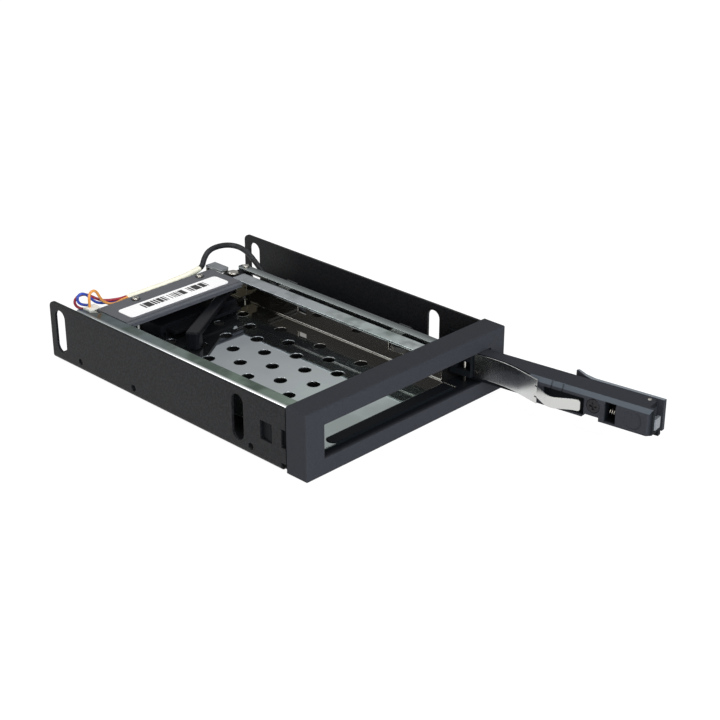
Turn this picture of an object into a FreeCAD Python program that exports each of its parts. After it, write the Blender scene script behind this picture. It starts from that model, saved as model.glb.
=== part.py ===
"""Drive rack for a 3.5 inch bay: a swing door, a drive cage and an ejector lever.

+X is to the right of someone facing the front, +Y runs to the rear and +Z is up.
The origin is the middle of the chassis floor's underside. Lengths are in millimetres.
"""
import FreeCAD
import Part
import math
import os
from types import SimpleNamespace

import Sketcher

SIZES = {
    # bezel: the moulded front frame and its window
    "bezel_width": 101.6,
    "bezel_height": 25.4,
    "bezel_depth": 10.3,
    "bezel_edge_radius": 0.6,
    "bezel_wall": 1.8,
    "bezel_rib": 2.0,
    "left_post": 8.3,
    "right_post": 7.8,
    "bottom_bar": 6.4,
    "top_bar": 6.3,
    "arm_thickness": 1.6,
    "arm_length": 14.2,
    "arm_bottom": 7.2,
    "arm_height": 10.0,
    "snap_gap": 0.3,
    "fit_gap": 0.1,
    "seam_gap": 0.6,
    "sill_bar_front": 3.7,
    "sill_bar_width": 4.7,
    "sill_bar_rise": 1.2,
    "sill_bar_inset": 8.0,
    "sill_bar_end": 2.0,
    # chassis: the folded black channel that fills the bay
    "bezel_step": 0.2,
    "bezel_lip": 1.3,
    "chassis_length": 131.8,
    "chassis_sheet": 1.0,
    "bend_radius": 1.6,
    "wall_corner_radius": 2.6,
    "slot_width": 6.0,
    "slot_height": 17.6,
    "slot_middle": 12.7,
    "slot_setback": 24.0,
    "slot_spacing": 101.6,
    "side_hole_diameter": 2.6,
    "side_hole_height": 3.7,
    "side_hole_front": 17.6,
    "side_hole_middle": 82.0,
    "side_hole_rear": 114.1,
    "hook_setback": 6.8,
    "hook_length": 5.8,
    "hook_bottom": 8.6,
    "hook_height": 7.2,
    "seam_notch_depth": 2.1,
    "seam_notch_bottom": 9.0,
    "seam_notch_height": 7.0,
    "foot_notch_depth": 2.4,
    "foot_notch_height": 3.1,
    # drive cage: bright folded sheet with a perforated floor and two top rails
    "cage_overlap": 0.7,
    "side_room": 14.2,
    "cage_sheet": 0.8,
    "cage_floor_gap": 0.2,
    "cage_inner_height": 11.0,
    "left_rail_width": 6.3,
    "right_rail_width": 7.5,
    "cage_front_gap": 0.4,
    "right_rail_end": 118.0,
    "left_rail_end": 127.0,
    "left_rail_taper": 3.3,
    "left_rail_tail": 3.0,
    "fold_radius": 0.7,
    "cage_rear": 136.2,
    "tongue_front": 3.6,
    "tongue_gap": 0.3,
    "sill_gap": 0.35,
    "vent_diameter": 4.9,
    "vent_pitch_across": 12.4,
    "vent_pitch_along": 11.05,
    "vent_first_row": 41.75,
    "wall_slot_length": 4.6,
    "wall_slot_height": 2.6,
    "wall_slot_middle": 84.5,
    "side_spring_front": 28.9,
    "side_spring_length": 8.5,
    "side_spring_height": 3.0,
    "side_spring_gap": 0.5,
    "side_spring_reach": 1.2,
    "standoff_radius": 3.0,
    "standoff_inset": 6.0,
    "standoff_front": 36.2,
    "standoff_rear": 113.5,
    "rear_tab_width": 5.0,
    "rear_tab_front": 126.2,
    "rear_tab_inset": 1.0,
    "rear_tab_chamfer": 1.6,
    "rest_reach": 8.4,
    "rest_upper_reach": 5.4,
    "rest_gap": 0.5,
    "rest_lift": 2.2,
    "rest_corner": 1.2,
    # door: swings on a steel pin at the right end of the window
    "door_angle": 98.0,
    "hinge_inset": 7.8,
    "hinge_back": 5.6,
    "hinge_pin_radius": 0.8,
    "hinge_pin_seat": 2.0,
    "running_gap": 0.06,
    "door_gap": 0.3,
    "door_heel": 7.0,
    "heel_radius": 4.5,
    "heel_inner_radius": 1.5,
    "door_front_skin": 3.4,
    "door_inner_bottom": 9.0,
    "door_heel_depth": 1.6,
    "door_heel_end": 3.3,
    "door_seat": 0.35,
    "door_bend": 17.5,
    "door_sweep": 40.0,
    "door_deep": 4.4,
    "door_deep_inset": 44.9,
    "door_end_chamfer": 1.5,
    "door_bevel_drop": 2.6,
    "door_bevel_width": 1.5,
    "knuckle_bottom": 11.5,
    "knuckle_height": 3.5,
    "tongue_pocket_gap": 2.8,
    "tongue_pocket_length": 16.4,
    "tongue_pocket_depth": 2.4,
    "tick_inset": 39.3,
    "tick_spacing": 4.4,
    "tick_width": 0.5,
    "door_notch_inset": 24.9,
    "door_notch_length": 5.1,
    "door_notch_height": 1.4,
    "spring_pocket_inset": 17.8,
    "spring_pocket_length": 4.4,
    "spring_pocket_top": 17.1,
    "mark_inset": 7.0,
    "mark_height": 13.4,
    "mark_radius": 3.4,
    "mark_depth": 0.2,
    "door_screw_inset": 22.2,
    "door_screw_height": 14.2,
    "door_screw_head": 2.5,
    "door_screw_sink": 1.0,
    "door_screw_radius": 1.1,
    # leaf spring along the door's inner face
    "leaf_thickness": 0.45,
    "leaf_start": 4.0,
    "leaf_height": 9.3,
    "leaf_overrun": 1.1,
    "leaf_stand_off": 0.8,
    "leaf_tongue_lift": 2.5,
    "leaf_tongue_height": 4.2,
    "leaf_tongue_length": 17.7,
    "leaf_tongue_corner": 1.0,
    "leaf_bow": 4.9,
    "leaf_bow_radius": 5.0,
    "leaf_tip_radius": 9.0,
    "leaf_relief": 1.2,
    # latch: lever on the door's front, bolt and coil in its free end
    "latch_gap": 0.3,
    "latch_plate": 1.8,
    "latch_edge_radius": 0.5,
    "latch_reach": 28.8,
    "latch_end_inset": 0.4,
    "latch_flare_length": 8.0,
    "latch_flare_rise": 3.3,
    "latch_pin_inset": 4.8,
    "latch_pin_depth": 1.9,
    "latch_pin_radius": 0.8,
    "latch_lug_radius": 1.7,
    "latch_lug_height": 5.8,
    "latch_relief": 1.7,
    "bolt_length": 11.1,
    "bolt_width": 3.2,
    "bolt_height": 4.2,
    "bolt_bottom": 10.0,
    "bolt_head_rise": 1.1,
    "bolt_offset": 0.25,
    "bolt_gap": 0.15,
    "bolt_reach": 0.1,
    "bolt_stem_radius": 0.8,
    "bolt_stem_length": 4.2,
    "coil_radius": 1.6,
    "coil_wire": 0.5,
    "coil_length": 3.7,
    # ejector: link bar beside the cage and the lever at its rear corner
    "link_offset": 2.2,
    "link_width": 4.0,
    "link_sheet": 1.0,
    "link_front": 13.6,
    "link_foot_width": 9.5,
    "link_foot_length": 3.9,
    "link_tail": 3.0,
    "guide_length": 6.0,
    "guide_front": 33.0,
    "guide_rear": 95.0,
    "guide_gap": 0.4,
    "slide_gap": 0.1,
    "pivot_inset": 2.3,
    "pivot_back": 123.4,
    "pivot_radius": 1.5,
    "pivot_head": 2.3,
    "pivot_head_height": 0.9,
    "lever_angle": 31.3,
    "lever_length": 53.9,
    "lever_width": 5.7,
    "lever_root_width": 4.0,
    "lever_edge_radius": 0.8,
    "lever_hub": 4.2,
    "lever_lift": 0.8,
    "lever_top": 15.0,
    "lever_beam": 2.1,
    "lever_finger": 5.0,
    "lever_hub_top": 17.8,
    "crank_sheet": 1.3,
    "crank_reach": 7.1,
    "crank_slack": 0.2,
    "crank_play": 0.7,
    "link_rivet_radius": 1.1,
    "link_rivet_head": 1.4,
    "head_height": 0.7,
    # circuit board, its connectors and the black cover over them
    "board_inset": 1.8,
    "board_gap": 0.9,
    "board_front": 117.0,
    "board_rear": 135.0,
    "board_sheet": 1.6,
    "board_height": 15.6,
    "receptacle_inset": 9.8,
    "receptacle_width": 39.5,
    "receptacle_front": 113.0,
    "receptacle_depth": 12.4,
    "receptacle_height": 5.0,
    "receptacle_riser_width": 26.0,
    "receptacle_riser_depth": 3.6,
    "blade_length": 5.5,
    "blade_width": 34.0,
    "blade_sheet": 1.2,
    "plug_width": 25.0,
    "plug_depth": 7.0,
    "plug_height": 6.2,
    "plug_wall": 1.0,
    "post_radius": 2.2,
    "post_spread": 32.7,
    "post_shift": 3.4,
    "post_back": 128.0,
    "cover_sheet": 1.2,
    "cover_front": 113.0,
    "cover_rear": 131.0,
    "cover_gap": 0.2,
    "cover_lip": 1.4,
    "cover_lip_height": 2.4,
    "cover_lip_step": 0.4,
    "cover_screw_radius": 0.8,
    "cover_screw_head": 1.4,
    "cover_screw_sink": 0.4,
    "cover_screw_ring": 1.95,
    "cover_screw_head_height": 1.3,
    "cover_screw_length": 9.4,
    "label_margin": 4.1,
    "label_width": 9.3,
    "label_sheet": 0.15,
    "label_corner": 1.8,
    "label_setback": 1.6,
    "socket_inset": 0.6,
    "socket_overhang": 0.2,
    "socket_width": 5.2,
    "socket_depth": 4.0,
    "socket_height": 2.6,
    "holder_gap": 0.5,
    "holder_width": 4.0,
    "holder_depth": 7.7,
    "holder_bottom": 2.6,
    "holder_height": 5.0,
    "wire_radius": 0.55,
    "sleeve_radius": 1.25,
    "lead_radius": 1.15,
}

VENT_ROWS = 7
VENTS_PER_ROW = 5
RECEPTACLE_RIBS = 12
RIB_SLOT_SHARE = 0.5

DOC = FreeCAD.newDocument("DriveRack")
SHEET = DOC.addObject("Spreadsheet::Sheet", "Dim")
NODES = []


class Size:
    """A length together with the sheet formula that gives it."""

    def __init__(self, number, formula):
        self.number = number
        self.formula = formula

    def __add__(self, other):
        other = size(other)
        return Size(self.number + other.number, f"({self.formula} + {other.formula})")

    def __radd__(self, other):
        return size(other) + self

    def __sub__(self, other):
        other = size(other)
        return Size(self.number - other.number, f"({self.formula} - {other.formula})")

    def __rsub__(self, other):
        return size(other) - self

    def __mul__(self, factor):
        return Size(self.number * factor, f"({self.formula} * {factor})")

    def __truediv__(self, factor):
        return Size(self.number / factor, f"({self.formula} / {factor})")

    def __neg__(self):
        return Size(-self.number, f"(-{self.formula})")


def size(value):
    """The value as a Size, so that plain numbers can stand beside named ones."""
    if isinstance(value, Size):
        return value
    return Size(value, f"({value})")


def fill_sheet():
    """Put every named size in the sheet, and hand back one Size per name."""
    named = {}
    for row, (name, number) in enumerate(SIZES.items(), start=1):
        SHEET.set(f"A{row}", name)
        SHEET.set(f"B{row}", str(number))
        SHEET.setAlias(f"B{row}", name)
        named[name] = Size(number, f"Dim.{name}")
    DOC.recompute()
    return SimpleNamespace(**named)


def bind(obj, prop, value):
    obj.setExpression(prop, size(value).formula)


def move(obj, x, y, z):
    bind(obj, "Placement.Base.x", x)
    bind(obj, "Placement.Base.y", y)
    bind(obj, "Placement.Base.z", z)
    return obj


def box(name, x, y, z):
    """A box between two bounds along each axis."""
    obj = DOC.addObject("Part::Box", name)
    bind(obj, "Length", size(x[1]) - x[0])
    bind(obj, "Width", size(y[1]) - y[0])
    bind(obj, "Height", size(z[1]) - z[0])
    return move(obj, x[0], y[0], z[0])


TURNS = {
    "X": FreeCAD.Rotation(FreeCAD.Vector(0, 1, 0), 90),
    "Y": FreeCAD.Rotation(FreeCAD.Vector(1, 0, 0), -90),
    "Z": FreeCAD.Rotation(),
}


def rod(name, radius, start, length, axis="Z"):
    """A cylinder that runs from its start along one axis."""
    obj = DOC.addObject("Part::Cylinder", name)
    bind(obj, "Radius", radius)
    bind(obj, "Height", length)
    obj.Placement.Rotation = TURNS[axis]
    return move(obj, *start)


def fuse(name, *parts):
    obj = DOC.addObject("Part::MultiFuse", name)
    obj.Shapes = list(parts)
    obj.Refine = True
    return obj


def group(name, parts):
    """Pieces that do not touch, kept together as one object."""
    obj = DOC.addObject("Part::Compound", name)
    obj.Links = list(parts)
    return obj


def cut(name, base, *tools):
    obj = DOC.addObject("Part::Cut", name)
    obj.Base = base
    obj.Tool = tools[0] if len(tools) == 1 else fuse(name + "Tools", *tools)
    obj.Refine = True
    return obj


def cut_all(name, base, tools):
    """Cut with many tools that do not touch each other."""
    obj = DOC.addObject("Part::Cut", name)
    obj.Base = base
    obj.Tool = group(name + "Tools", tools)
    obj.Refine = True
    return obj


def origin_plane(body, role):
    return next(plane for plane in body.Origin.OriginFeatures if plane.Role == role)


def outline_sketch(body, plane, points):
    """A closed sketch whose corners are each held by two formulas."""
    sketch = body.newObject("Sketcher::SketchObject", body.Name + "Outline")
    sketch.AttachmentSupport = [(origin_plane(body, plane + "_Plane"), "")]
    sketch.MapMode = "FlatFace"
    corners = [(size(across), size(up)) for across, up in points]
    count = len(corners)
    for index in range(count):
        here = corners[index]
        after = corners[(index + 1) % count]
        line = Part.LineSegment(
            FreeCAD.Vector(here[0].number, here[1].number, 0),
            FreeCAD.Vector(after[0].number, after[1].number, 0))
        sketch.addGeometry(line, False)
    for index in range(count):
        sketch.addConstraint(Sketcher.Constraint("Coincident", index, 2, (index + 1) % count, 1))
    for index, (across, up) in enumerate(corners):
        for kind, value in (("DistanceX", across), ("DistanceY", up)):
            number = sketch.addConstraint(Sketcher.Constraint(kind, -1, 1, index, 1, value.number))
            sketch.setExpression(f"Constraints[{number}]", value.formula)
    return sketch


def prism(name, plane, points, low, high):
    """A sketched outline padded between two bounds across its plane."""
    body = DOC.addObject("PartDesign::Body", name)
    pad = body.newObject("PartDesign::Pad", name + "Pad")
    pad.Profile = outline_sketch(body, plane, points)
    pad.Reversed = plane == "XZ"
    bind(pad, "Length", size(high) - low)
    body.Tip = pad
    axis = {"XY": "z", "XZ": "y", "YZ": "x"}[plane]
    bind(body, "Placement.Base." + axis, low)
    DOC.recompute()
    return body


def edges_where(shape, test):
    """Names of the straight edges whose middle and direction pass the test."""
    names = []
    for index, edge in enumerate(shape.Edges, start=1):
        ends = [vertex.Point for vertex in edge.Vertexes]
        if len(ends) == 2 and test((ends[0] + ends[1]) / 2, (ends[1] - ends[0]).normalize()):
            names.append(f"Edge{index}")
    return names


def near(one, other):
    return abs(one - size(other).number) < 1e-4


def round_edges(body, radius, test):
    """Round the edges of a body's last feature that pass the test."""
    last = body.Tip
    fillet = body.newObject("PartDesign::Fillet", body.Name + "Round" + str(len(body.Group)))
    fillet.Base = (last, edges_where(last.Shape, test))
    bind(fillet, "Radius", radius)
    body.Tip = fillet
    DOC.recompute()
    return body


def round_corners(body, radius, corners):
    """Round the upright edges of an XY prism at the given outline corners."""
    spots = [(size(x).number, size(y).number) for x, y in corners]

    def at_corner(middle, way):
        upright = abs(way.z) > 0.99
        return upright and any(near(middle.x, x) and near(middle.y, y) for x, y in spots)

    return round_edges(body, radius, at_corner)


def round_rims(body, radius, height):
    """Round the circular edges of a turned body that lie at one height."""
    last = body.Tip
    names = []
    for index, edge in enumerate(last.Shape.Edges, start=1):
        if len(edge.Vertexes) == 1 and near(edge.Vertexes[0].Z, height):
            names.append(f"Edge{index}")
    fillet = body.newObject("PartDesign::Fillet", body.Name + "Dome")
    fillet.Base = (last, names)
    bind(fillet, "Radius", radius)
    body.Tip = fillet
    DOC.recompute()
    return body


def turned(name, outline, x, y):
    """Half an outline, given as radius and height, spun about an upright axis."""
    body = DOC.addObject("PartDesign::Body", name)
    spin = body.newObject("PartDesign::Revolution", name + "Spin")
    sketch = outline_sketch(body, "XZ", outline)
    spin.Profile = sketch
    spin.ReferenceAxis = (sketch, ["V_Axis"])
    spin.Angle = 360
    body.Tip = spin
    move(body, x, y, 0)
    DOC.recompute()
    return body


def slot_tool(name, axis, start, length, width, reach):
    """An obround cutter: its long way is the first reach axis, its depth the rod axis."""
    long_axis, half = reach
    middle = dict(zip("XYZ", start))
    spans = {}
    for way in "XYZ":
        if way == axis:
            spans[way] = (middle[way], size(middle[way]) + length)
        elif way == long_axis:
            spans[way] = (size(middle[way]) - half, size(middle[way]) + half)
        else:
            spans[way] = (size(middle[way]) - width / 2, size(middle[way]) + width / 2)
    pieces = [box(name + "Middle", spans["X"], spans["Y"], spans["Z"])]
    for side, offset in (("Low", -half), ("High", half)):
        spot = dict(middle)
        spot[long_axis] = size(middle[long_axis]) + offset
        pieces.append(rod(name + side, width / 2, (spot["X"], spot["Y"], spot["Z"]), length, axis))
    return fuse(name, *pieces)


def node(label, obj):
    obj.Label = label
    NODES.append(obj)
    return obj


d = fill_sheet()

# shared places, each worked out once from the named sizes
front = -(d.bezel_depth + d.chassis_length / 2)
chassis_front = -d.chassis_length / 2
chassis_rear = d.chassis_length / 2
chassis_half = d.bezel_width / 2 - d.bezel_step
chassis_top = d.bezel_height - d.bezel_lip
wall_inside = chassis_half - d.chassis_sheet
window_left = d.left_post - d.bezel_width / 2
window_right = d.bezel_width / 2 - d.right_post
window_bottom = d.bottom_bar
window_top = d.bezel_height - d.top_bar
cage_left = window_left - d.cage_overlap
cage_right = window_right - d.side_room
cage_middle = (cage_left + cage_right) / 2
cage_bottom = window_bottom + d.cage_floor_gap
cage_floor = cage_bottom + d.cage_sheet
rail_bottom = cage_floor + d.cage_inner_height
rail_top = rail_bottom + d.cage_sheet
left_rail_edge = cage_left + d.left_rail_width
right_rail_edge = cage_right - d.right_rail_width
hinge_x = window_right - d.hinge_inset
hinge_y = front + d.hinge_back
door_end = hinge_x - window_left - d.door_gap
door_top = window_top - d.door_gap
door_bottom = window_bottom + d.door_gap
door_face = d.hinge_back
deep_start = door_end - d.door_deep_inset
tongue_start = deep_start + d.tongue_pocket_gap
notch_start = door_end - d.door_notch_inset
pocket_start = door_end - d.spring_pocket_inset
mark_x = door_end - d.mark_inset
screw_x = door_end - d.door_screw_inset
tick_x = door_end - d.tick_inset
latch_x = door_end - d.latch_reach
skin_back = door_face - d.door_front_skin
pivot_x = cage_right - d.pivot_inset
pivot_y = front + d.pivot_back
board_left = cage_left + d.cage_sheet + d.board_inset
board_right = right_rail_edge - d.board_gap
board_rear = front + d.board_rear
board_top = d.board_height + d.board_sheet
post_middle = cage_middle + d.post_shift
link_left = cage_right + d.link_offset
link_bottom = rail_top - d.cage_floor_gap - d.link_sheet
link_top = link_bottom + d.link_sheet
rivet_x = pivot_x + d.crank_reach
cover_top = rail_top + d.cover_gap
cover_bottom = cover_top - d.cover_sheet
sill_low = front + d.sill_bar_front
sill_high = sill_low + d.sill_bar_width
sill_end = cage_right - d.sill_bar_end
sill_round = window_left + d.sill_bar_inset + d.sill_bar_width / 2


def make_chassis():
    """Folded channel with side slots, screw holes and snap windows in both walls."""
    half = chassis_half
    profile = [
        (-half, 0), (half, 0), (half, chassis_top), (wall_inside, chassis_top),
        (wall_inside, d.chassis_sheet), (-wall_inside, d.chassis_sheet),
        (-wall_inside, chassis_top), (-half, chassis_top),
    ]
    channel = prism("Channel", "XZ", profile, chassis_front, chassis_rear)
    length = d.chassis_length.number

    def outer_bend(middle, way):
        return abs(way.y) > 0.99 and near(middle.z, 0) and near(abs(middle.x), half)

    def rear_corner(middle, way):
        high = near(middle.z, chassis_top)
        return abs(way.x) > 0.99 and high and near(middle.y, length)

    round_edges(channel, d.bend_radius, outer_bend)
    round_edges(channel, d.wall_corner_radius, rear_corner)
    across = chassis_half * 2 + 2
    start = -half - 1
    tools = []
    straight = (d.slot_height - d.slot_width) / 2
    for index, extra in enumerate((size(0), d.slot_spacing)):
        spot = (start, chassis_front + d.slot_setback + extra, d.slot_middle)
        tools.append(slot_tool(f"SideSlot{index}", "X", spot, across, d.slot_width, ("Z", straight)))
    for index, back in enumerate((d.side_hole_front, d.side_hole_middle, d.side_hole_rear)):
        spot = (start, chassis_front + back, d.side_hole_height)
        tools.append(rod(f"SideHole{index}", d.side_hole_diameter / 2, spot, across, "X"))
    hook_front = chassis_front + d.hook_setback
    tools.append(box("SnapWindow", (start, half + 1), (hook_front, hook_front + d.hook_length),
                     (d.hook_bottom, d.hook_bottom + d.hook_height)))
    notch_top = d.seam_notch_bottom + d.seam_notch_height
    tools.append(box("SeamNotch", (start, half + 1),
                     (chassis_front - 1, chassis_front + d.seam_notch_depth),
                     (d.seam_notch_bottom, notch_top)))
    for side, name in ((-1, "FootNotchLeft"), (1, "FootNotchRight")):
        outer = (half + 1) * side
        inner = (wall_inside - d.chassis_sheet) * side
        bounds = (outer, inner) if side < 0 else (inner, outer)
        tools.append(box(name, bounds, (chassis_front - 1, chassis_front + d.foot_notch_depth),
                         (-1, d.foot_notch_height)))
    return node("chassis", cut_all("Chassis", channel, tools))


def bezel_arm(side, name):
    """Springy arm behind the bezel, with a wedge that snaps into the wall's window."""
    outer = wall_inside - d.fit_gap
    inner = outer - d.arm_thickness
    hook_front = chassis_front + d.hook_setback + d.snap_gap
    hook_rear = chassis_front + d.hook_setback + d.hook_length - d.snap_gap
    tip = chassis_half - d.fit_gap
    xs = (-outer, -inner) if side < 0 else (inner, outer)
    arm = box(name + "Arm", xs, (chassis_front - d.bezel_wall, chassis_front + d.arm_length),
              (d.arm_bottom, d.arm_bottom + d.arm_height))
    wedge = prism(name + "Wedge", "XY",
                  [(inner * side, hook_front), (tip * side, hook_front),
                   (outer * side, hook_rear), (inner * side, hook_rear)],
                  d.hook_bottom + d.snap_gap, d.hook_bottom + d.hook_height - d.snap_gap)
    return [arm, wedge]


def bezel_pockets():
    """Hollows behind the top and bottom bars, with ribs left between them."""
    back = chassis_front + 1
    deep = front + d.bezel_wall
    hinge_side = hinge_x - d.bezel_rib * 2
    left = window_left
    step = (hinge_side - left + d.bezel_rib) / 3
    bars = (
        ("Top", window_top + d.bezel_wall, d.bezel_height - d.bezel_wall),
        ("Bottom", d.bezel_wall, window_bottom - d.bezel_wall),
    )
    tools = []
    for bar, low, high in bars:
        for index in range(3):
            start = left + step * index
            tools.append(box(f"{bar}Pocket{index}", (start, start + step - d.bezel_rib),
                             (deep, back), (low, high)))
    return tools


def sill_bar():
    """Raised bar on the window's sill, with a rounded left end."""
    low = window_bottom - d.bezel_wall / 2
    high = window_bottom + d.sill_bar_rise
    middle = (sill_low + sill_high) / 2
    bar = box("SillBar", (sill_round, sill_end), (sill_low, sill_high), (low, high))
    end = rod("SillBarEnd", d.sill_bar_width / 2, (sill_round, middle, low), high - low)
    return [bar, end]


def seam_rebate():
    """Narrow step round the bezel's rear edge, which shows as a dark line by the chassis."""
    half = d.bezel_width / 2
    inner = half - d.seam_gap
    top = d.bezel_height - d.seam_gap
    ys = (chassis_front - d.seam_gap, chassis_front + 1)
    tall = (-1, d.bezel_height + 1)
    return [
        box("SeamLeft", (-half - 1, -inner), ys, tall),
        box("SeamRight", (inner, half + 1), ys, tall),
        box("SeamTop", (-half, half), ys, (top, d.bezel_height + 1)),
        box("SeamBottom", (-half, half), ys, (-1, d.seam_gap)),
    ]


def make_bezel():
    half = d.bezel_width / 2
    block = prism("BezelBlock", "XZ",
                  [(-half, 0), (half, 0), (half, d.bezel_height), (-half, d.bezel_height)],
                  front, chassis_front)

    def outer_edge(middle, way):
        return abs(way.y) > 0.99 or near(middle.y, 0)

    round_edges(block, d.bezel_edge_radius, outer_edge)
    window = box("Window", (window_left, window_right), (front - 1, chassis_front + 1),
                 (window_bottom, window_top))
    pin_low = window_bottom - d.hinge_pin_seat
    pin_long = window_top - window_bottom + d.hinge_pin_seat * 2
    bore = rod("HingeSeat", d.hinge_pin_radius, (hinge_x, hinge_y, pin_low), pin_long)
    stepped = cut("BezelStepped", block, *seam_rebate())
    frame = cut_all("BezelFrame", cut("BezelWindow", stepped, window, bore), bezel_pockets())
    arms = bezel_arm(-1, "Left") + bezel_arm(1, "Right")
    node("bezel", fuse("Bezel", frame, *arms, *sill_bar()))
    pin = rod("HingePin", d.hinge_pin_radius, (hinge_x, hinge_y, pin_low), pin_long)
    node("hinge_pin", pin)


def vent_tools():
    """Staggered round vents through the cage floor, even about the drive's middle."""
    tools = []
    for row in range(VENT_ROWS):
        count = VENTS_PER_ROW - row % 2
        for place in range(count):
            x = cage_middle + d.vent_pitch_across * (place - (count - 1) / 2)
            y = front + d.vent_first_row + d.vent_pitch_along * row
            tools.append(rod(f"Vent{row}x{place}", d.vent_diameter / 2, (x, y, cage_bottom - 1),
                             d.cage_sheet + 2))
    return tools


def cage_shell():
    """Folded sheet: floor, two walls and two rails, with the right wall cut short at the rear."""
    t = d.cage_sheet
    profile = [
        (cage_left, cage_bottom), (cage_right, cage_bottom), (cage_right, rail_top),
        (right_rail_edge, rail_top), (right_rail_edge, rail_bottom),
        (cage_right - t, rail_bottom), (cage_right - t, cage_floor),
        (cage_left + t, cage_floor), (cage_left + t, rail_bottom),
        (left_rail_edge, rail_bottom), (left_rail_edge, rail_top), (cage_left, rail_top),
    ]
    cage_front = chassis_front + d.cage_front_gap
    rear = front + d.cage_rear
    shell = prism("CageShell", "XZ", profile, cage_front, rear)

    def outer_fold(middle, way):
        folds = near(middle.x, cage_left) or near(middle.x, cage_right)
        return abs(way.y) > 0.99 and folds

    def inner_fold(middle, way):
        folds = near(middle.x, cage_left + t) or near(middle.x, cage_right - t)
        return abs(way.y) > 0.99 and folds

    round_edges(shell, d.fold_radius, inner_fold)
    round_edges(shell, d.fold_radius + t, outer_fold)
    high = rail_top + 1
    right_end = box("RightWallEnd", (right_rail_edge - 1, cage_right + 1),
                    (front + d.right_rail_end, rear + 1), (cage_floor, high))
    tail_x = cage_left + d.left_rail_tail
    rail_end = front + d.left_rail_end
    left_end = prism("LeftRailEnd", "XY",
                     [(left_rail_edge + 1, rail_end), (left_rail_edge, rail_end),
                      (tail_x, rail_end + d.left_rail_taper), (tail_x, rear + 1),
                      (left_rail_edge + 1, rear + 1)],
                     rail_bottom - d.fold_radius, high)
    middle_height = (cage_floor + rail_bottom) / 2
    slot_low = middle_height - d.wall_slot_height / 2
    slot_front = front + d.wall_slot_middle - d.wall_slot_length / 2
    wall_slot = box("WallSlot", (cage_right - t - 1, cage_right + 1),
                    (slot_front, slot_front + d.wall_slot_length),
                    (slot_low, slot_low + d.wall_slot_height))
    spring_low = middle_height - d.side_spring_height / 2
    spring_front = front + d.side_spring_front
    spring_slot = box("SpringSlot", (cage_right - t - 1, cage_right + 1),
                      (spring_front, spring_front + d.side_spring_length),
                      (spring_low, spring_low + d.side_spring_height))
    return cut_all("CageFolded", shell, [right_end, left_end, wall_slot, spring_slot])


def cage_tongue():
    """The floor's front lip on the window's sill, notched round the raised bar."""
    low = front + d.tongue_front
    left = window_left + d.tongue_gap
    right = cage_right - d.cage_sheet
    lip = box("FloorLip", (left, right), (low, chassis_front + d.cage_front_gap),
              (cage_bottom, cage_floor))
    radius = d.sill_bar_width / 2 + d.sill_gap
    zs = (cage_bottom - 1, cage_floor + 1)
    notch = box("SillNotch", (sill_round - radius / 3, sill_end + d.sill_gap),
                (low - 1, sill_high + d.sill_gap), zs)
    notch_end = rod("SillNotchEnd", radius, (sill_round, (sill_low + sill_high) / 2, zs[0]), zs[1] - zs[0])
    return cut("FloorLipOpen", lip, notch, notch_end)


def cage_rear_tab():
    """Tab folded up from the floor's rear edge and forward, level with the rails."""
    right = cage_right - d.rear_tab_inset
    left = right - d.rear_tab_width
    low = front + d.rear_tab_front
    rear = front + d.cage_rear
    upright = box("TabUpright", (left, right), (rear - d.cage_sheet, rear), (cage_bottom, rail_top))
    flap = prism("TabFlap", "XY",
                 [(left, low), (right - d.rear_tab_chamfer, low), (right, low + d.rear_tab_chamfer),
                  (right, rear), (left, rear)],
                 rail_bottom, rail_top)
    return [upright, flap]


def lever_rest():
    """Flap folded in from the right wall's rear end, stepped to pass under the lever."""
    wall = cage_right - d.cage_sheet
    low = cage_floor + d.rest_lift
    step = d.lever_top - d.lever_beam - d.rest_gap
    top = rail_bottom - d.rest_gap
    left = wall - d.rest_reach
    rear = front + d.right_rail_end
    flap = prism("LeverRest", "XZ",
                 [(left, low), (wall + d.cage_sheet / 2, low), (wall + d.cage_sheet / 2, top),
                  (wall - d.rest_upper_reach, top), (wall - d.rest_upper_reach, step), (left, step)],
                 rear - d.cage_sheet, rear)

    def low_corner(middle, way):
        return abs(way.y) > 0.99 and near(middle.x, left) and near(middle.z, low)

    return round_edges(flap, d.rest_corner, low_corner)


def link_guides():
    """Two bent-out ledges on the cage's right wall that carry the link bar."""
    top = link_bottom - d.slide_gap
    end = link_left + d.link_width + d.guide_gap
    pieces = []
    for index, back in enumerate((d.guide_front, d.guide_rear)):
        ys = (front + back, front + back + d.guide_length)
        pieces.append(box(f"GuideLedge{index}", (cage_right - d.cage_sheet, end), ys,
                          (top - d.cage_sheet, top)))
        pieces.append(box(f"GuideLip{index}", (end, end + d.cage_sheet), ys,
                          (top - d.cage_sheet, link_top)))
    return pieces


def side_spring():
    """Leaf lanced from a slot in the right wall and bowed inward to steady the drive."""
    wall = cage_right - d.cage_sheet
    thick = d.cage_sheet / 2
    low = (cage_floor + rail_bottom) / 2 - d.side_spring_height / 2 + d.side_spring_gap
    root = front + d.side_spring_front - d.side_spring_gap
    crest = root + d.side_spring_length * 0.6
    tip = front + d.side_spring_front + d.side_spring_length - d.side_spring_gap * 3
    bow = wall - d.side_spring_reach
    return prism("SideSpring", "XY",
                 [(wall, root), (wall + thick, root), (bow + thick, crest), (wall, tip),
                  (wall - thick, tip), (bow, crest)],
                 low, low + d.side_spring_height - d.side_spring_gap * 2)


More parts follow.
